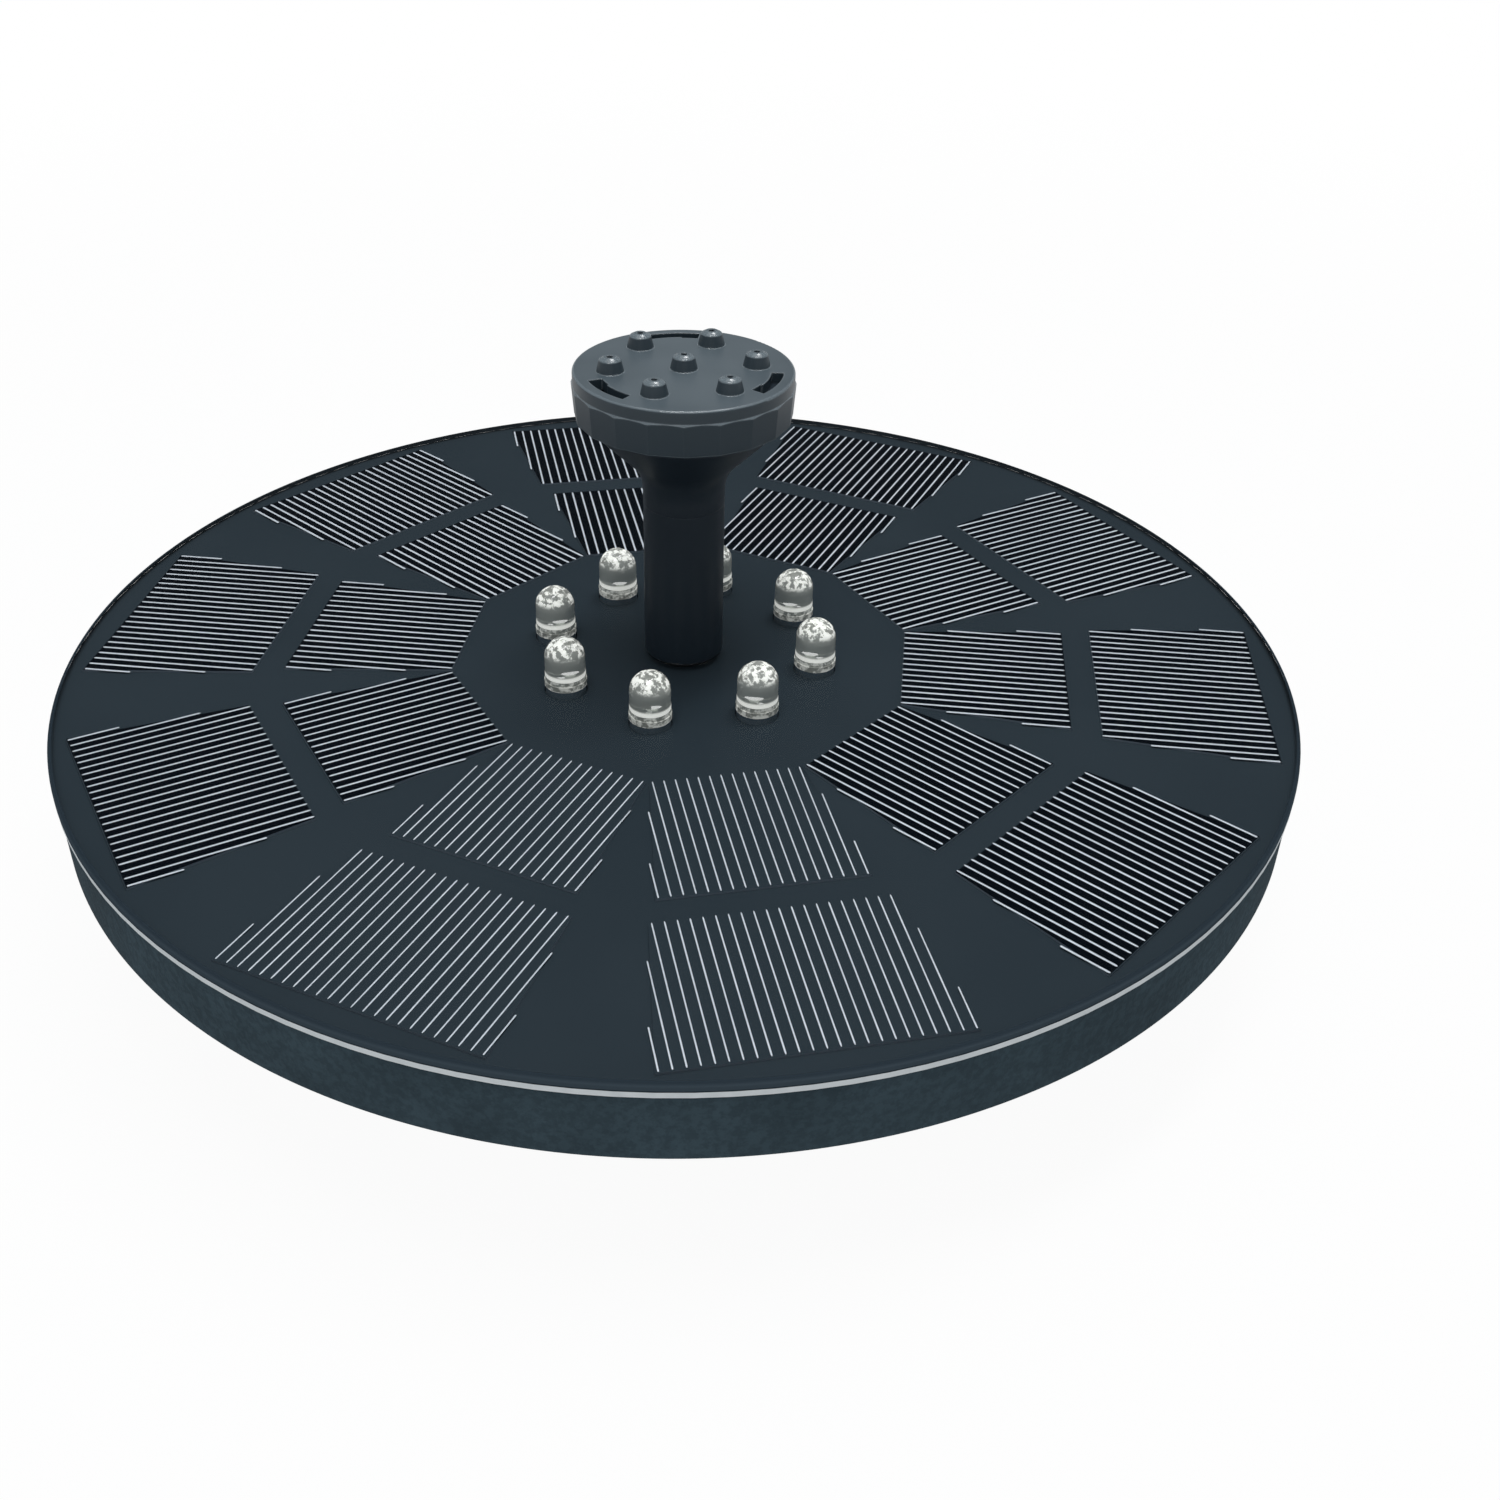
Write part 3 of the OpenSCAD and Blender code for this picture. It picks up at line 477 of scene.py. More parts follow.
# The paler colour of each moulding is also that of its painted edge highlight.
pump_plastic = moulded("pump_plastic", "454e52", "848a8d", rough=0.42)
box_plastic = moulded("box_plastic", "394043", "6c7174", rough=0.5, edge=0.15 * MM)
hub_plastic = moulded("hub_plastic", "22282b", "454b4e", rough=0.38)
riser_plastic = moulded("riser_plastic", "222c35", "38424c", rough=0.42, depth=fine_grain)
# The nozzle's edges and lips get a painted highlight, and its upright faces a painted shade.
nozzle_plastic = moulded("nozzle_plastic", "3f4c54", "96a2a9", rough=0.36, depth=fine_grain,
                         edge=0.3 * MM, rub_and_highlight=0.8, lip_polish_and_highlight=0.27, shine=0.7, wall_shade="2d3b44")
print("mouldings:", [m.name for m in bpy.data.materials if m.name.endswith("_plastic")])

# %% Give the mouldings their finish
dressed = set()


def dress(material, *nodes):
    """Gives CAD nodes their finish, and notes that they have it."""
    for node in nodes:
        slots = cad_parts[node].data.materials
        slots.clear()
        slots.append(material)
    dressed.update(nodes)


dress(pump_plastic, "pump_housing", "strainer_cover", "rear_cap", "impeller_cover")
dress(box_plastic, "battery_box")
dress(hub_plastic, "hub")
dress(riser_plastic, "riser_tube", "nozzle_funnel")
dress(nozzle_plastic, "nozzle_cap")
print("nodes dressed so far:", len(dressed))

# %% [markdown]
# ## The fibre board
# The disc's base is a thin board, slate black above, glossy black below, and
# pale along its cut edge where the fibres show. Three sets of faces could
# carry three materials, but the board is one solid without such sets. So its
# finish asks where on the board it is: at the rim, on top or underneath. The
# lamps stand high and hardly reach the upright rim, so a trace of light of
# its own keeps it pale.

# %% Board
board_low, board_top = (corner.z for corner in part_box("panel_board"))
disc_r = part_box("panel_board")[1].x
rim_glow = 0.09
rim_depth = 0.1 * MM
rim_lip = 0.2 * MM
weave_scale, weave_depth = 1400, 0.004 * MM


def board_finish():
    """Slate on top, pale fibres round the rim and a woven glossy underside."""
    finish = new_finish("fibre_board")
    x, y, z = position(finish)
    up = facing_up(finish, "True Normal")
    side = finish.maths("ABSOLUTE", up) < 0.5
    outermost = from_axis(x, y) > disc_r - rim_depth
    rim = side * outermost * (z < board_top - rim_lip)
    top = z > (board_top + board_low) / 2
    clouds = blotches(finish, 30, 3)
    weave = finish.add("TexVoronoi", None, {"Vector": place(finish), "Scale": weave_scale})
    slate = finish.mix(clouds, colour("2b353c"), colour("2e383f"))
    under = finish.mix(clouds, colour("20272a"), colour("2b3235"))
    fibre = finish.mix(speckle(finish, 500, 3), colour("e9edef"), colour("ccd2d5"))
    return finish.output(finish.add("BsdfPrincipled", None, {
        "Base Color": finish.mix(rim, finish.mix(top, under, slate), fibre),
        "Roughness": 0.3 + 0.1 * clouds + 0.3 * rim,
        "Normal": grain(finish, weave * (1 - top), weave_depth),
        "Specular IOR Level": 0.0,
        "Emission Color": finish.mix(rim, colour("000000"), fibre),
        "Emission Strength": rim_glow,
        "Coat Weight": (1 - top) * (1 - rim),
        "Coat Roughness": 0.25,
    }))


dress(board_finish(), "panel_board")
print("board, mm:", round(board_low / MM, 1), "to", round(board_top / MM, 1))

# %% [markdown]
# ## Solar cells and their silver lines
# Each cell is a wafer cut to a slanted shape. Fine lines of silver paste are
# printed on it, all parallel to the middle of the sector, and along the
# slanted sides there is room for two shorter ones. The wafer is as slate as
# the board round it, and nearly black between the lines, where it was etched
# to catch the light. Two sectors at the front are paler than the rest, without
# the dark etched shape. The wafers come from several batches, so the width of
# the print differs from sector to sector. The dark shape could be a second
# mesh, but a mask that works out its slanted outline needs no more faces.
# Printed paste stands a little proud, with round shoulders, so each line is
# a low ridge in the mesh and not a painted stripe.

# %% Where the cells lie
cell_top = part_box("inner_cells")[1].z
front = math.radians(-98)
sectors = 10
sector_angle = math.tau / sectors
first_sector = math.radians(-8)
pitch = 1.55 * MM
cell_len = 24.3 * MM
cell_margin = 0.1 * MM
# Each ring of cells: where it starts, and how many full-length lines a cell has.
cell_rings = {"inner_cells": (33.0 * MM, 14), "outer_cells": (61.5 * MM, 20)}
print("cell top, mm:", round(cell_top / MM, 2))

# %% Finish the cells
pale_span = (0.78, 0.84)


def cell_finish(name, start, full):
    """Etched dark inside the slanted shape, slate round it, and a paler slate on the sawn sides
    as a painted light against their shade.
    """
    finish = new_finish(name)
    x, y, _ = position(finish)
    radius = from_axis(x, y)
    toward_front = (x * math.cos(front) + y * math.sin(front)) / radius
    pale_front = finish.step(toward_front, *pale_span)
    bearing = finish.maths("ARCTAN2", y, x) - first_sector
    own = bearing - finish.maths("ROUND", bearing / sector_angle) * sector_angle
    along = radius * finish.maths("COSINE", own)
    across = finish.maths("ABSOLUTE", radius * finish.maths("SINE", own))
    half_width = (along - start) * math.tan(sector_angle / 2) + full / 2 * pitch
    beyond_foot = along > start + cell_margin
    before_head = along < start + cell_len - cell_margin
    sawn = facing_up(finish, "True Normal") < 0.5
    etched = (1 - sawn) * (across < half_width) * beyond_foot * before_head
    grit = speckle(finish, 160, 4, 0.7)
    face = finish.mix(grit, colour("2a343b"), colour("2f3940"))
    # The sawn sides are painted paler, to make up for the shade on them.
    slate = finish.mix(sawn, face, colour("66737f"))
    dark = finish.mix(grit, colour("03070c"), colour("080e15"))
    return finish.output(finish.add("BsdfPrincipled", None, {
        "Base Color": finish.mix(etched * (1 - pale_front), slate, dark),
        "Roughness": 0.4 + 0.1 * grit,
        "Specular IOR Level": 0.0,
    }))


for cells, (start, full) in cell_rings.items():
    dress(cell_finish(cells + "_wafer", start, full), cells)
print("cells dressed:", sorted(cell_rings))

# %% The shape of one silver line
line_h = 0.02 * MM
line_gap = 0.002 * MM
stations = (0, 0.012, 0.2, 0.4, 0.6, 0.8, 0.988, 1)
tip_width = 0.45
tip_height = 0.4
width_play = (0.92, 1.08)


def finish_mesh(bm, name):
    """Turns a working mesh into a smooth piece in the scene."""
    mesh = bpy.data.meshes.new(name)
    for face in bm.faces:
        face.smooth = True
    bm.to_mesh(mesh)
    bm.free()
    piece = bpy.data.objects.new(name, mesh)
    bpy.context.scene.collection.objects.link(piece)
    return piece


def ridge(bm, foot, along, across, length, width, rng):
    """One printed line: a low ridge with tapered ends and a slightly uneven edge."""
    rows = []
    for share in stations:
        tip = share in (0, 1)
        half = width / 2 * (tip_width if tip else rng.uniform(*width_play))
        spine = foot + along * length * share
        rise = Vector((0, 0, line_h * (tip_height if tip else 1)))
        points = (spine - across * half, spine + rise, spine + across * half)
        rows.append([bm.verts.new(p) for p in points])
    for a, b in zip(rows, rows[1:]):
        for i in range(2):
            bm.faces.new((a[i], a[i + 1], b[i + 1], b[i]))


print("faces in a line:", 2 * (len(stations) - 1))

# %% Set out the lines of a ring of cells
# The widths, one for each sector, and the gap at a line's outer end are in millimetres.
line_widths = [0.36, 0.36, 0.29, 0.29, 0.38, 0.36, 0.31, 0.19, 0.19, 0.31]
short_lines = 2
short_start = 0.27
short_step = 0.44
end_gap, end_play = 0.2, 0.05


def printed_lines(name, start, full, seed):
    """The lines of one ring of cells. Beyond the full ones, each starts further out."""
    rng = random.Random(seed)
    bm = bmesh.new()
    count = full + 2 * short_lines
    for k in range(sectors):
        angle = first_sector + k * sector_angle
        along = Vector((math.cos(angle), math.sin(angle), 0))
        across = Vector((-along.y, along.x, 0))
        width = line_widths[k] * MM
        for i in range(count):
            beyond = max(short_lines - i, i - (count - 1 - short_lines), 0)
            skip = (short_start + short_step * (beyond - 1)) if beyond else 0
            offset = (i - (count - 1) / 2) * pitch
            foot = along * (start + cell_len * skip) + across * offset
            foot.z = cell_top + line_gap
            length = cell_len * (1 - skip) - (end_gap + rng.uniform(0, end_play)) * MM
            ridge(bm, foot, along, across, length, width, rng)
    bmesh.ops.recalc_face_normals(bm, faces=bm.faces)
    return finish_mesh(bm, name), count * sectors


print("line widths, mm:", line_widths)

# %% Print the silver lines


def silver_finish():
    """Matt paste with fine grit and wide tarnished patches."""
    finish = new_finish("silver_paste")
    grit = speckle(finish, 2500, 2, 0.7)
    tarnish = blotches(finish, 60, 2)
    base = finish.mix(grit, colour("bcc6d0"), colour("e6edf5"))
    return finish.output(finish.add("BsdfPrincipled", None, {
        "Base Color": finish.mix(tarnish * 0.25, base, colour("9ca7b3")),
        "Roughness": 0.45 + 0.2 * grit,
        "Metallic": 0.2,
    }))


silver = silver_finish()
for cells, (start, full) in cell_rings.items():
    name = cells.replace("cells", "silver_lines")
    lines, count = printed_lines(name, start, full, seed=full)
    lines.data.materials.append(silver)
    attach(lines, "float")
    print(name, count)

# %% [markdown]
# ## The clear resin
# The cells are sealed under a millimetre of clear resin. It is poured, so it
# has a soft round edge, and it creeps a little way up whatever stands in it:
# each light and the riser wear a small collar of it. Only its outer skin is
# seen, so the piece is that skin: a flat sheet with holes, a rolled edge and
# the collars. A narrow flat band lies between the sheet and each curve, so
# that the sheet is shaded as flat to its very edge.
# A solid of glass would bend every line below it and take many more rays. The
# skin lets light straight through and adds a faint gloss, which is cheap to
# render and keeps the lines sharp. In a real rolled edge the dark disc bends
# into view, so the edge is painted slate, and paler where it is upright, a
# painted light against the shade there.

# %% Round forms
flat_band = 0.4 * MM
weld = 1e-7
corner_steps = 6


def circle_points(centre, radius, count):
    angles = (math.tau * i / count for i in range(count))
    return [Vector((centre[0] + radius * math.cos(a), centre[1] + radius * math.sin(a), 0))
            for a in angles]


def lathe(bm, centre, profile, count):
    """Turns a profile of (radius, height) points round an upright axis."""
    rings = []
    for radius, height in profile:
        ring = circle_points(centre, radius, count)
        rings.append([bm.verts.new(p + Vector((0, 0, height))) for p in ring])
    for a, b in zip(rings, rings[1:]):
        for i in range(count):
            j = (i + 1) % count
            bm.faces.new((a[i], a[j], b[j], b[i]))


def quarter(centre, radius, start=0.0):
    """Points of a quarter circle in a profile, from the side to the top when start is 0."""
    angles = [start + math.pi / 2 * i / corner_steps for i in range(corner_steps + 1)]
    return [(centre[0] + radius * math.cos(a), centre[1] + radius * math.sin(a)) for a in angles]


def close_up(bm):
    """Joins the points that meet, and turns all faces the same way out."""
    bmesh.ops.remove_doubles(bm, verts=bm.verts, dist=weld)
    bmesh.ops.recalc_face_normals(bm, faces=bm.faces)


print("points in a rounded corner:", len(quarter((0, 0), 1)))

# %% Where the lights and the riser stand
light_count = 8
light_ring = 20 * MM
first_light = math.radians(-13.6)
light_r = 3.07 * MM
riser_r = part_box("riser_tube")[1].x
light_collar = {"height": 0.25 * MM, "reach": 0.4 * MM, "steps": 32}
riser_collar = {"height": 0.35 * MM, "reach": 0.9 * MM, "steps": 64}


def light_places():
    angles = [first_light + k * math.tau / light_count for k in range(light_count)]
    return [(light_ring * math.cos(a), light_ring * math.sin(a)) for a in angles]


collars = [((0, 0), riser_r, riser_collar)]
collars += [(centre, light_r, light_collar) for centre in light_places()]
print("collars:", len(collars))

# %% Pour the resin
resin_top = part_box("panel_resin")[1].z
edge_r = 0.6 * MM
sheet_r = disc_r - edge_r - flat_band
rim_steps = 240
collar_steps = 5
collar_power = 2.2


def collar_profile(inner, height, reach):
    """From the flat sheet's hole inwards and up the side of what stands in it."""
    shares = [i / collar_steps for i in range(collar_steps + 1)]
    curve = [(inner + reach * (1 - s), resin_top + height * s ** collar_power) for s in shares]
    return [(inner + reach + flat_band, resin_top)] + curve


def resin_sheet():
    """The flat sheet with its holes, then the rolled edge, then the collars."""
    bm = bmesh.new()
    loops = [circle_points((0, 0), sheet_r, rim_steps)]
    for centre, inner, collar in collars:
        loops.append(circle_points(centre, inner + collar["reach"] + flat_band, collar["steps"]))
    verts = [bm.verts.new((p.x, p.y, resin_top)) for loop in loops for p in loop]
    for corners in tessellate_polygon(loops):
        bm.faces.new([verts[i] for i in corners])
    rolled = quarter((disc_r - edge_r, resin_top - edge_r), edge_r)
    lathe(bm, (0, 0), [(disc_r, board_top), *rolled, (sheet_r, resin_top)], rim_steps)
    for centre, inner, collar in collars:
        profile = collar_profile(inner, collar["height"], collar["reach"])
        lathe(bm, centre, profile, collar["steps"])
    close_up(bm)
    # The skin is open below, so its level faces are turned up one by one.
    for face in bm.faces:
        if face.calc_center_median().z > resin_top - 0.01 * MM and face.normal.z < 0:
            face.normal_flip()
    return finish_mesh(bm, "resin_pour")


resin = resin_sheet()
print("resin faces:", len(resin.data.polygons))

# %% Finish the resin
resin_gloss = 0.12
edge_lean = (0.95, 0.3)
edge_before, edge_after = 0.2 * MM, 0.1 * MM


def resin_finish():
    """Clear with a faint gloss on the sheet, slate on the rolled edge, painted paler where
    upright against its shade.
    """
    finish = new_finish("clear_resin")
    surface = grain(finish, speckle(finish, 22, 2), 0.03 * MM)
    gloss = finish.add("BsdfGlossy", None, {"Color": white, "Roughness": 0.22, "Normal": surface})
    clear = finish.add("BsdfTransparent")
    level = finish.add("BsdfDiffuse", None, {"Color": colour("2b353d")})
    # Upright parts of the edge are painted paler, to make up for their shade.
    upright_painted_light = finish.add("BsdfDiffuse", None, {"Color": colour("434f58")})
    slate = finish.blend(finish.step(facing_up(finish), *edge_lean), level, upright_painted_light)
    x, y, _ = position(finish)
    roll_start = disc_r - edge_r
    edge = finish.step(from_axis(x, y), roll_start - edge_before, roll_start + edge_after)
    glance = finish.add("Fresnel", None, {"IOR": 1.45, "Normal": surface})
    faint = glance * resin_gloss * (1 - edge)
    return finish.output(finish.blend(faint, finish.blend(edge, clear, slate), gloss))


resin.data.materials.append(resin_finish())
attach(resin, "float")
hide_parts("panel_resin")
print("resin finish:", resin.data.materials[0].name)

# %% [markdown]
# ## Closed-cell foam
# The float is cut from a thick sheet of black foam. The sawn skin is matt and
# full of tiny open cells, with soft clouds where the sheet was denser. A cell
# pattern four tenths of a millimetre across gives the bite, and slow noise
# gives the clouds. Real pits in the mesh would take millions of faces, so a
# bump makes them. The level underside is painted paler than the cut walls, as if lit.
# The ring is turned anew at the CAD model's size, with finer steps, so that
# its edge stays a clean curve.

# %% Turn the foam ring
foam_round = 0.5 * MM
foam_band = 0.3 * MM
foam_steps = 360


def foam_piece():
    """A ring of rectangular section with rounded corners, flat to near each corner."""
    low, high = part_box("foam_ring")
    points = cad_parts["foam_ring"].data.vertices
    hole_r = min(math.hypot(p.co.x, p.co.y) for p in points)
    middle = ((hole_r + high.x) / 2, (low.z + high.z) / 2)
    corners = [(high.x, high.z), (hole_r, high.z), (hole_r, low.z), (high.x, low.z)]
    profile = []
    for i, corner in enumerate(corners):
        centre = [v + math.copysign(foam_round, m - v) for v, m in zip(corner, middle)]
        start = i * math.pi / 2
        sine, cosine = foam_band * math.sin(start), foam_band * math.cos(start)
        curve = quarter(centre, foam_round, start)
        before = (curve[0][0] + sine, curve[0][1] - cosine)
        after = (curve[-1][0] - cosine, curve[-1][1] - sine)
        profile += [before, *curve, after]
    bm = bmesh.new()
    lathe(bm, (0, 0), profile + profile[:1], foam_steps)
    close_up(bm)
    return finish_mesh(bm, "foam_turned")


foam = foam_piece()

# %% Finish the foam
foam_cell_scale = 2600
foam_pit_depth = 0.05 * MM
under_span = (-0.7, -0.95)


def foam_finish():
    """Matt slate with pits, clouds and an underside painted paler, as if lit."""
    finish = new_finish("cut_foam")
    cells = finish.add("TexVoronoi", None, {"Vector": place(finish), "Scale": foam_cell_scale})
    clouds = blotches(finish, 70, 4, 0.6, 0.25, 0.75)
    pits = blotches(finish, 900, 2, 0.7, 0.35, 0.65)
    under = finish.step(facing_up(finish), *under_span)
    base = finish.mix(clouds, colour("3a4951"), colour("475861"))
    # The underside is painted paler, as a painted light.
    base = finish.mix(under, base, colour("687176"))
    return finish.output(finish.add("BsdfPrincipled", None, {
        "Base Color": finish.mix(pits * 0.35, base, colour("283239")),
        "Roughness": 0.82 + 0.1 * clouds,
        "Normal": grain(finish, cells * 0.5 + pits, foam_pit_depth),
        "Specular IOR Level": 0.08,
    }))


foam.data.materials.append(foam_finish())
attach(foam, "float")
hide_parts("foam_ring")
print("foam finish:", foam.data.materials[0].name)

# %% [markdown]
# ## The lights
# A light is a clear epoxy bullet with two tinned legs cast into it. Polished
# epoxy is glass to the eye. Its dome gathers the light of the whole room and
# scatters it in bright flecks, and its foot shows the white circuit board as
# a bright ring. Tracing all that takes very many rays, so the finish paints the
# flecks and the ring on the outer skin of the glass as painted highlights that
# glow a little, and lays a faint haze there. What is sunk in the resin is painted
# slate, a little paler than the board as a painted light against its shade, so
# that it can't be seen through it.

# %% The parts of a light
lens_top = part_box("led_lenses")[1].z
dome_r = 2.95 * MM
dome_foot = lens_top - dome_r
ring_z = resin_top + 1.9 * MM


def climb(finish, z, foot, start, end):
    """0 to 1 between two heights, in millimetres above a foot."""
    return finish.step(z, foot + start * MM, foot + end * MM)


print("dome foot and ring, mm:", round(dome_foot / MM, 1), round(ring_z / MM, 1))

# %% Finish the clear epoxy
haze_share, ring_highlight_share = 0.52, 0.9
dome_highlights, foot_highlights = 0.85, 0.35


def lens_finish():
    """Glass inside, with the haze on its outer skin, and the flecks and the ring there as painted
    highlights that glow a little.
    """
    finish = new_finish("clear_epoxy")
    _, _, z = position(finish)
    outside = 1 - finish.add("NewGeometry", out="Backfacing")
    glass = finish.add("BsdfPrincipled", None, {
        "Base Color": (0.96, 0.98, 0.97, 1),
        "Roughness": 0.03,
        "IOR": 1.5,
        "Transmission Weight": 1.0,
        "Normal": grain(finish, speckle(finish, 500, 2), 0.02 * MM),
    })
    haze = finish.add("BsdfPrincipled", None, {"Base Color": colour("d0d4cc"), "Roughness": 0.15})
    # The flecks and the ring: a painted highlight that glows a little.
    bright = finish.add("BsdfPrincipled", None, {
        "Base Color": colour("f5f7f2"),
        "Roughness": 0.15,
        "Emission Color": colour("fdfff8"),
        "Emission Strength": 0.45,
    })
    fleck_highlights = blotches(finish, 1100, 3, 0.65, 0.44, 0.58)
    dome = climb(finish, z, dome_foot, 0.5, 1.4)
    above_foot = climb(finish, z, ring_z, -0.35, -0.2)
    above_ring = climb(finish, z, ring_z, 0.2, 0.7)
    highlight_spots = fleck_highlights * (dome * dome_highlights + (1 - above_foot) * foot_highlights)
    lit = finish.maths("MAXIMUM", highlight_spots, above_foot * (1 - above_ring) * ring_highlight_share)
    body = finish.blend(outside * haze_share, glass, haze)
    body = finish.blend(lit * outside, body, bright)
    # Below the resin: slate painted paler, a painted light against its shade.
    sunk_slate_painted_light = finish.add("BsdfDiffuse", None, {"Color": colour("53616b")})
    return finish.output(finish.blend(outside * (z < resin_top), body, sunk_slate_painted_light))


dress(lens_finish(), "led_lenses")
print("clear lights:", light_count)

# %% Finish the legs


def tinned_finish():
    """Tinned steel with fine streaks."""
    finish = new_finish("tinned_metal")
    streak = speckle(finish, 1800, 3)
    return finish.output(finish.add("BsdfPrincipled", None, {
        "Base Color": finish.mix(streak, colour("c2c5c8"), colour("e4e5e3")),
        "Metallic": 1.0,
        "Roughness": 0.22 + 0.2 * streak,
    }))


dress(tinned_finish(), "led_frames")
print("legs:", 2 * light_count)

# %% [markdown]
# ## Hot glue
# The pan and the battery box are stuck to the back of the disc with black hot
# glue. It is squeezed out as an uneven bead, glossy and a little stringy. It
# could be sculpted by hand, but a section swept round each foot, which smooth
# noise swells and pinches, stays where the glue has to be.

# %% The paths of the glue
turn_steps = 4


def round_path(radius, count, level):
    """Points round the pan, each with the direction that points away from it."""
    path = []
    for i in range(count):
        a = math.tau * i / count
        out = Vector((math.cos(a), math.sin(a), 0))
        path.append((out * radius + Vector((0, 0, level)), out))
    return path


def box_path(low, high, level, step):
    """The same round a box's foot, turning smoothly at the corners."""
    corners = [Vector((x, y, level)) for x, y in
               ((high.x, low.y), (high.x, high.y), (low.x, high.y), (low.x, low.y))]
    path = []
    for corner, after in zip(corners, corners[1:] + corners[:1]):
        run = after - corner
        out = Vector((run.y, -run.x, 0)).normalized()
        count = max(2, round(run.length / step))
        path += [(corner + run * k / count, out) for k in range(count + 1)]
        turned = Matrix.Rotation(math.pi / 2, 3, "Z") @ out
        for k in range(1, turn_steps):
            share = k / turn_steps
            path.append((after, (out * (1 - share) + turned * share).normalized()))
    return path


pan_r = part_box("hub")[1].x
box_low, box_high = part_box("battery_box")
pan_path = round_path(pan_r, 300, board_low)
foot_path = box_path(box_low, box_high, board_low, 0.5 * MM)
print("points round the pan and the box:", len(pan_path), len(foot_path))

# %% The shape of a bead
bead_steps = 8
swell_scale, ripple_scale, lump_scale = 0.35, 1.1, 1.6


def bumpy(x, y, z, scale):
    """Smooth noise at a place, from about -1 to 1, at a scale in spots per millimetre."""
    return noise.noise(Vector((x, y, z)) / MM * scale)


def bead(name, path, width, height, seed):
    """A lumpy bead along a closed path, hanging from the disc's underside."""
    bm = bmesh.new()
    rings = []
    for point, out in path:
        swell = bumpy(point.x, point.y, seed * 0.1, swell_scale)
        ripple = bumpy(point.x, point.y, seed * 0.2, ripple_scale)
        w = width * (1 + 0.35 * swell + 0.2 * ripple)
        h = height * (1 + 0.4 * swell - 0.25 * ripple)
        ring = []
        for i in range(bead_steps + 1):
            a = math.pi / 2 * i / bead_steps
            lump = 1 + 0.12 * bumpy(point.x, point.y, i * 0.8 * MM, lump_scale)
            side = out * w * math.cos(a) ** 0.8 * lump
            drop = Vector((0, 0, -h * math.sin(a) ** 0.9 * lump))
            ring.append(bm.verts.new(point + side + drop))
        rings.append(ring)
    for a, b in zip(rings, rings[1:] + rings[:1]):
        for i in range(bead_steps):
            bm.faces.new((a[i], a[i + 1], b[i + 1], b[i]))
    bmesh.ops.recalc_face_normals(bm, faces=bm.faces)
    return finish_mesh(bm, name)


pan_bead = bead("pan_glue_bead", pan_path, width=1.25 * MM, height=1.5 * MM, seed=3)
box_bead = bead("box_glue_bead", foot_path, width=2.2 * MM, height=1.5 * MM, seed=8)
print("faces of the beads:", [len(b.data.polygons) for b in (pan_bead, box_bead)])

# %% Finish the glue


def glue_finish():
    """Glossy black with clouds and fine strings."""
    finish = new_finish("hot_glue")
    cloud = speckle(finish, 120, 3)
    strings = speckle(finish, 700, 3, 0.6)
    return finish.output(finish.add("BsdfPrincipled", None, {
        "Base Color": finish.mix(cloud, colour("0f1315"), colour("262c2e")),
        "Roughness": 0.12 + 0.15 * cloud,
        "Normal": grain(finish, strings, 0.08 * MM),
        "Coat Weight": 0.5,
    }))


glue = glue_finish()
for piece, node in ((pan_bead, "hub_glue"), (box_bead, "box_glue")):
    piece.data.materials.append(glue)
    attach(piece, "float")
    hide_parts(node)
    print(piece.name, "stands for", node)

# %% [markdown]
# ## Rubber and the lead
# The lead has a smooth black sheath with a soft shine, and so have the
# grommets that hold it. The seals and bushes are of the same kind of rubber,
# darker and more matt. On both, old rubber's pale bloom is a patchy noise that
# also takes away the shine.

# %% Rubber


def rubber(name, dark, light, rough):
    """Smooth rubber, lighter and rougher where it has bloomed."""
    finish = new_finish(name)
    bloom = blotches(finish, 150, 4, 0.6, 0.35, 0.8)
    return finish.output(finish.add("BsdfPrincipled", None, {
        "Base Color": finish.mix(bloom * 0.6, colour(dark), colour(light)),
        "Roughness": rough + 0.15 * bloom,
        "Normal": grain(finish, speckle(finish, 3000, 2), 0.006 * MM),
        "Specular IOR Level": 0.25,
    }))


sheath = rubber("lead_sheath", "171c1f", "2a3034", rough=0.34)
seal = rubber("seal_rubber", "101214", "24282a", rough=0.5)
lead.data.materials.append(sheath)
dress(sheath, "pump_grommet", "box_grommet")
dress(seal, "riser_oring", "neck_oring", "front_bush", "rear_bush")
print("rubber finishes:", [m.name for m in (sheath, seal)])

# %% [markdown]
# ## What is inside
# The pump's works show only when it is taken apart: the white impeller, the
# dark ferrite magnet on its ceramic shaft, the laminated core with its
# copper windings, and the boards. They are seldom seen, so three small recipes
# cover them all: two mixed tones with a fine grain, thin layers along an axis,
# and a circuit board.

# %% Recipes for the inner parts


def speckled(name, a, b, scale, rough, depth):
    """A simple finish of two mixed tones and a fine grain."""
    finish = new_finish(name)
    tone = blotches(finish, scale, 4, 0.6)
    return finish.output(finish.add("BsdfPrincipled", None, {
        "Base Color": finish.mix(tone, colour(a), colour(b)),
        "Roughness": rough + 0.1 * tone,
        "Normal": grain(finish, speckle(finish, scale * 8, 2), depth),
    }))


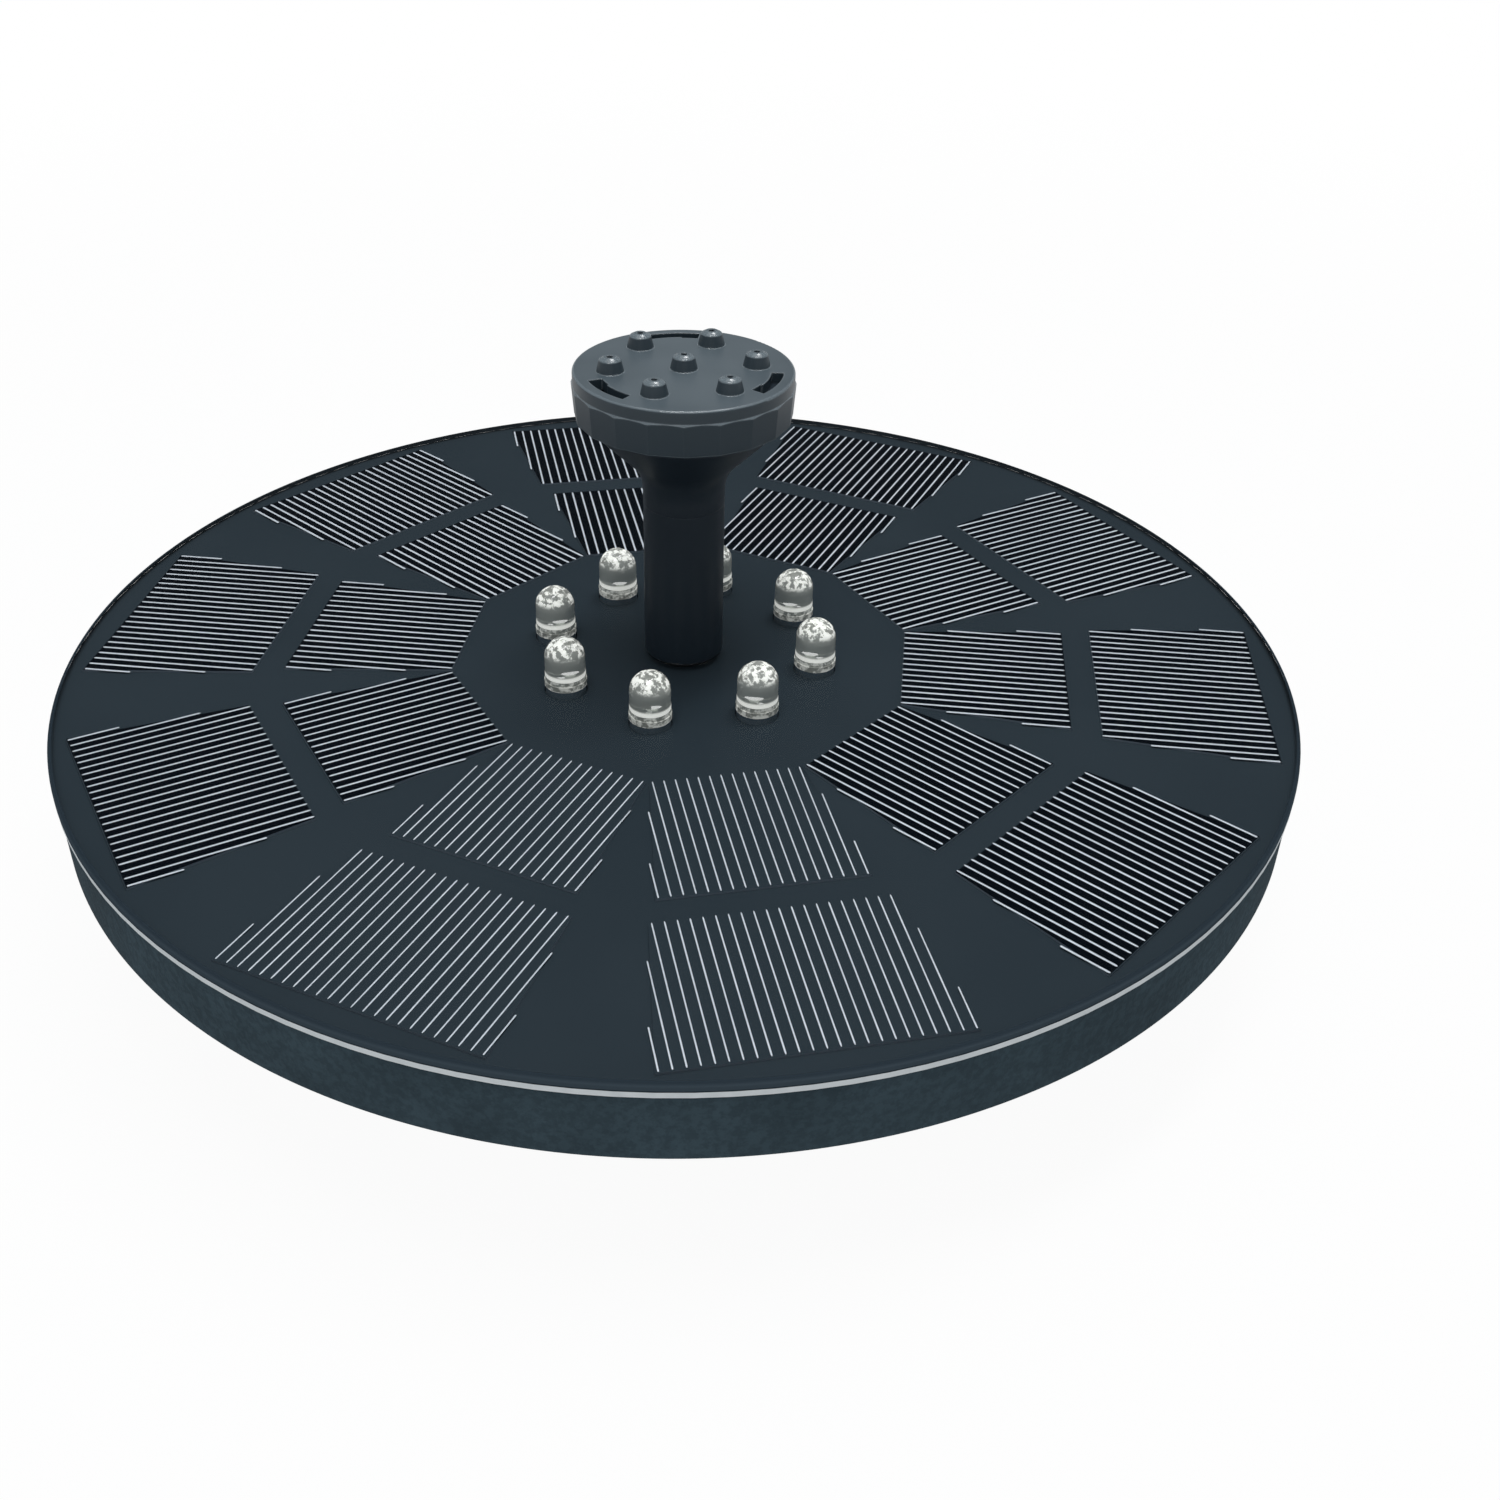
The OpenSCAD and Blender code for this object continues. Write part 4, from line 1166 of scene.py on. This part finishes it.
def layered(name, a, b, axis, period, rough, metallic):
    """Thin layers along an axis: laminations or turns of wire."""
    finish = new_finish(name)
    along = position(finish)[axis]
    wave = finish.maths("SINE", along * (math.tau / period))
    layer = finish.step(wave, -0.6, 0.6)
    blotch = speckle(finish, 300, 3)
    return finish.output(finish.add("BsdfPrincipled", None, {
        "Base Color": finish.mix(layer * 0.6 + blotch * 0.4, colour(a), colour(b)),
        "Roughness": rough + 0.15 * blotch,
        "Metallic": metallic,
        "Normal": grain(finish, layer, 0.05 * MM),
    }))


def circuit_finish(name, mask, track, ink):
    """A board under a solder mask, with tracks that show through it."""
    finish = new_finish(name)
    settings = {"distance": "MANHATTAN", "feature": "F1"}
    tracks = finish.add("TexVoronoi", settings, {"Vector": place(finish), "Scale": 420})
    copper = finish.step(tracks, 0.42, 0.5)
    base = finish.mix(copper, colour(mask), colour(track))
    return finish.output(finish.add("BsdfPrincipled", None, {
        "Base Color": finish.mix(speckle(finish, 900, 2) * 0.3, base, colour(ink)),
        "Roughness": 0.3 + 0.15 * copper,
        "Normal": grain(finish, copper, 0.03 * MM),
    }))


print("recipes:", [f.__name__ for f in (speckled, layered, circuit_finish)])

# %% Finish the inner parts
# The finish's name, its two tones, spots in a metre, roughness and depth of grain.
two_tone = {
    "impeller": ("white_moulding", "c9cccb", "dcdedd", 200, 0.38, 0.01 * MM),
    "rotor_magnet": ("ferrite", "2a2a2c", "3f3f42", 500, 0.45, 0.02 * MM),
    "shaft": ("shaft_ceramic", "d8d8d3", "e8e8e4", 300, 0.18, 0.002 * MM),
    "potting": ("epoxy_potting", "1c1a18", "2c2926", 250, 0.3, 0.02 * MM),
    "battery_cell": ("battery_sleeve", "23507c", "2c6293", 90, 0.25, 0.01 * MM),
}
sheet_axis, wire_axis = 1, 0

for node, settings in two_tone.items():
    dress(speckled(*settings), node)
core_sheets = layered("core_sheets", "6e7377", "a0a5a8", sheet_axis, 0.5 * MM, 0.35, 0.9)
copper_wire = layered("copper_wire", "6e3216", "b0622f", wire_axis, 0.25 * MM, 0.3, 0.6)
dress(core_sheets, "stator_core")
dress(copper_wire, "coils")
dress(circuit_finish("green_board", "1d4a30", "2f6a45", "17392a"), "driver_board", "charge_board")
dress(circuit_finish("white_board", "d9dcda", "e8eae8", "c4c8c6"), "led_board")

replaced = {"lead", "panel_resin", "foam_ring", "hub_glue", "box_glue"}
bare = sorted(set(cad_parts) - dressed - replaced)
print("nodes dressed:", len(dressed), "replaced:", len(replaced), "bare:", bare)
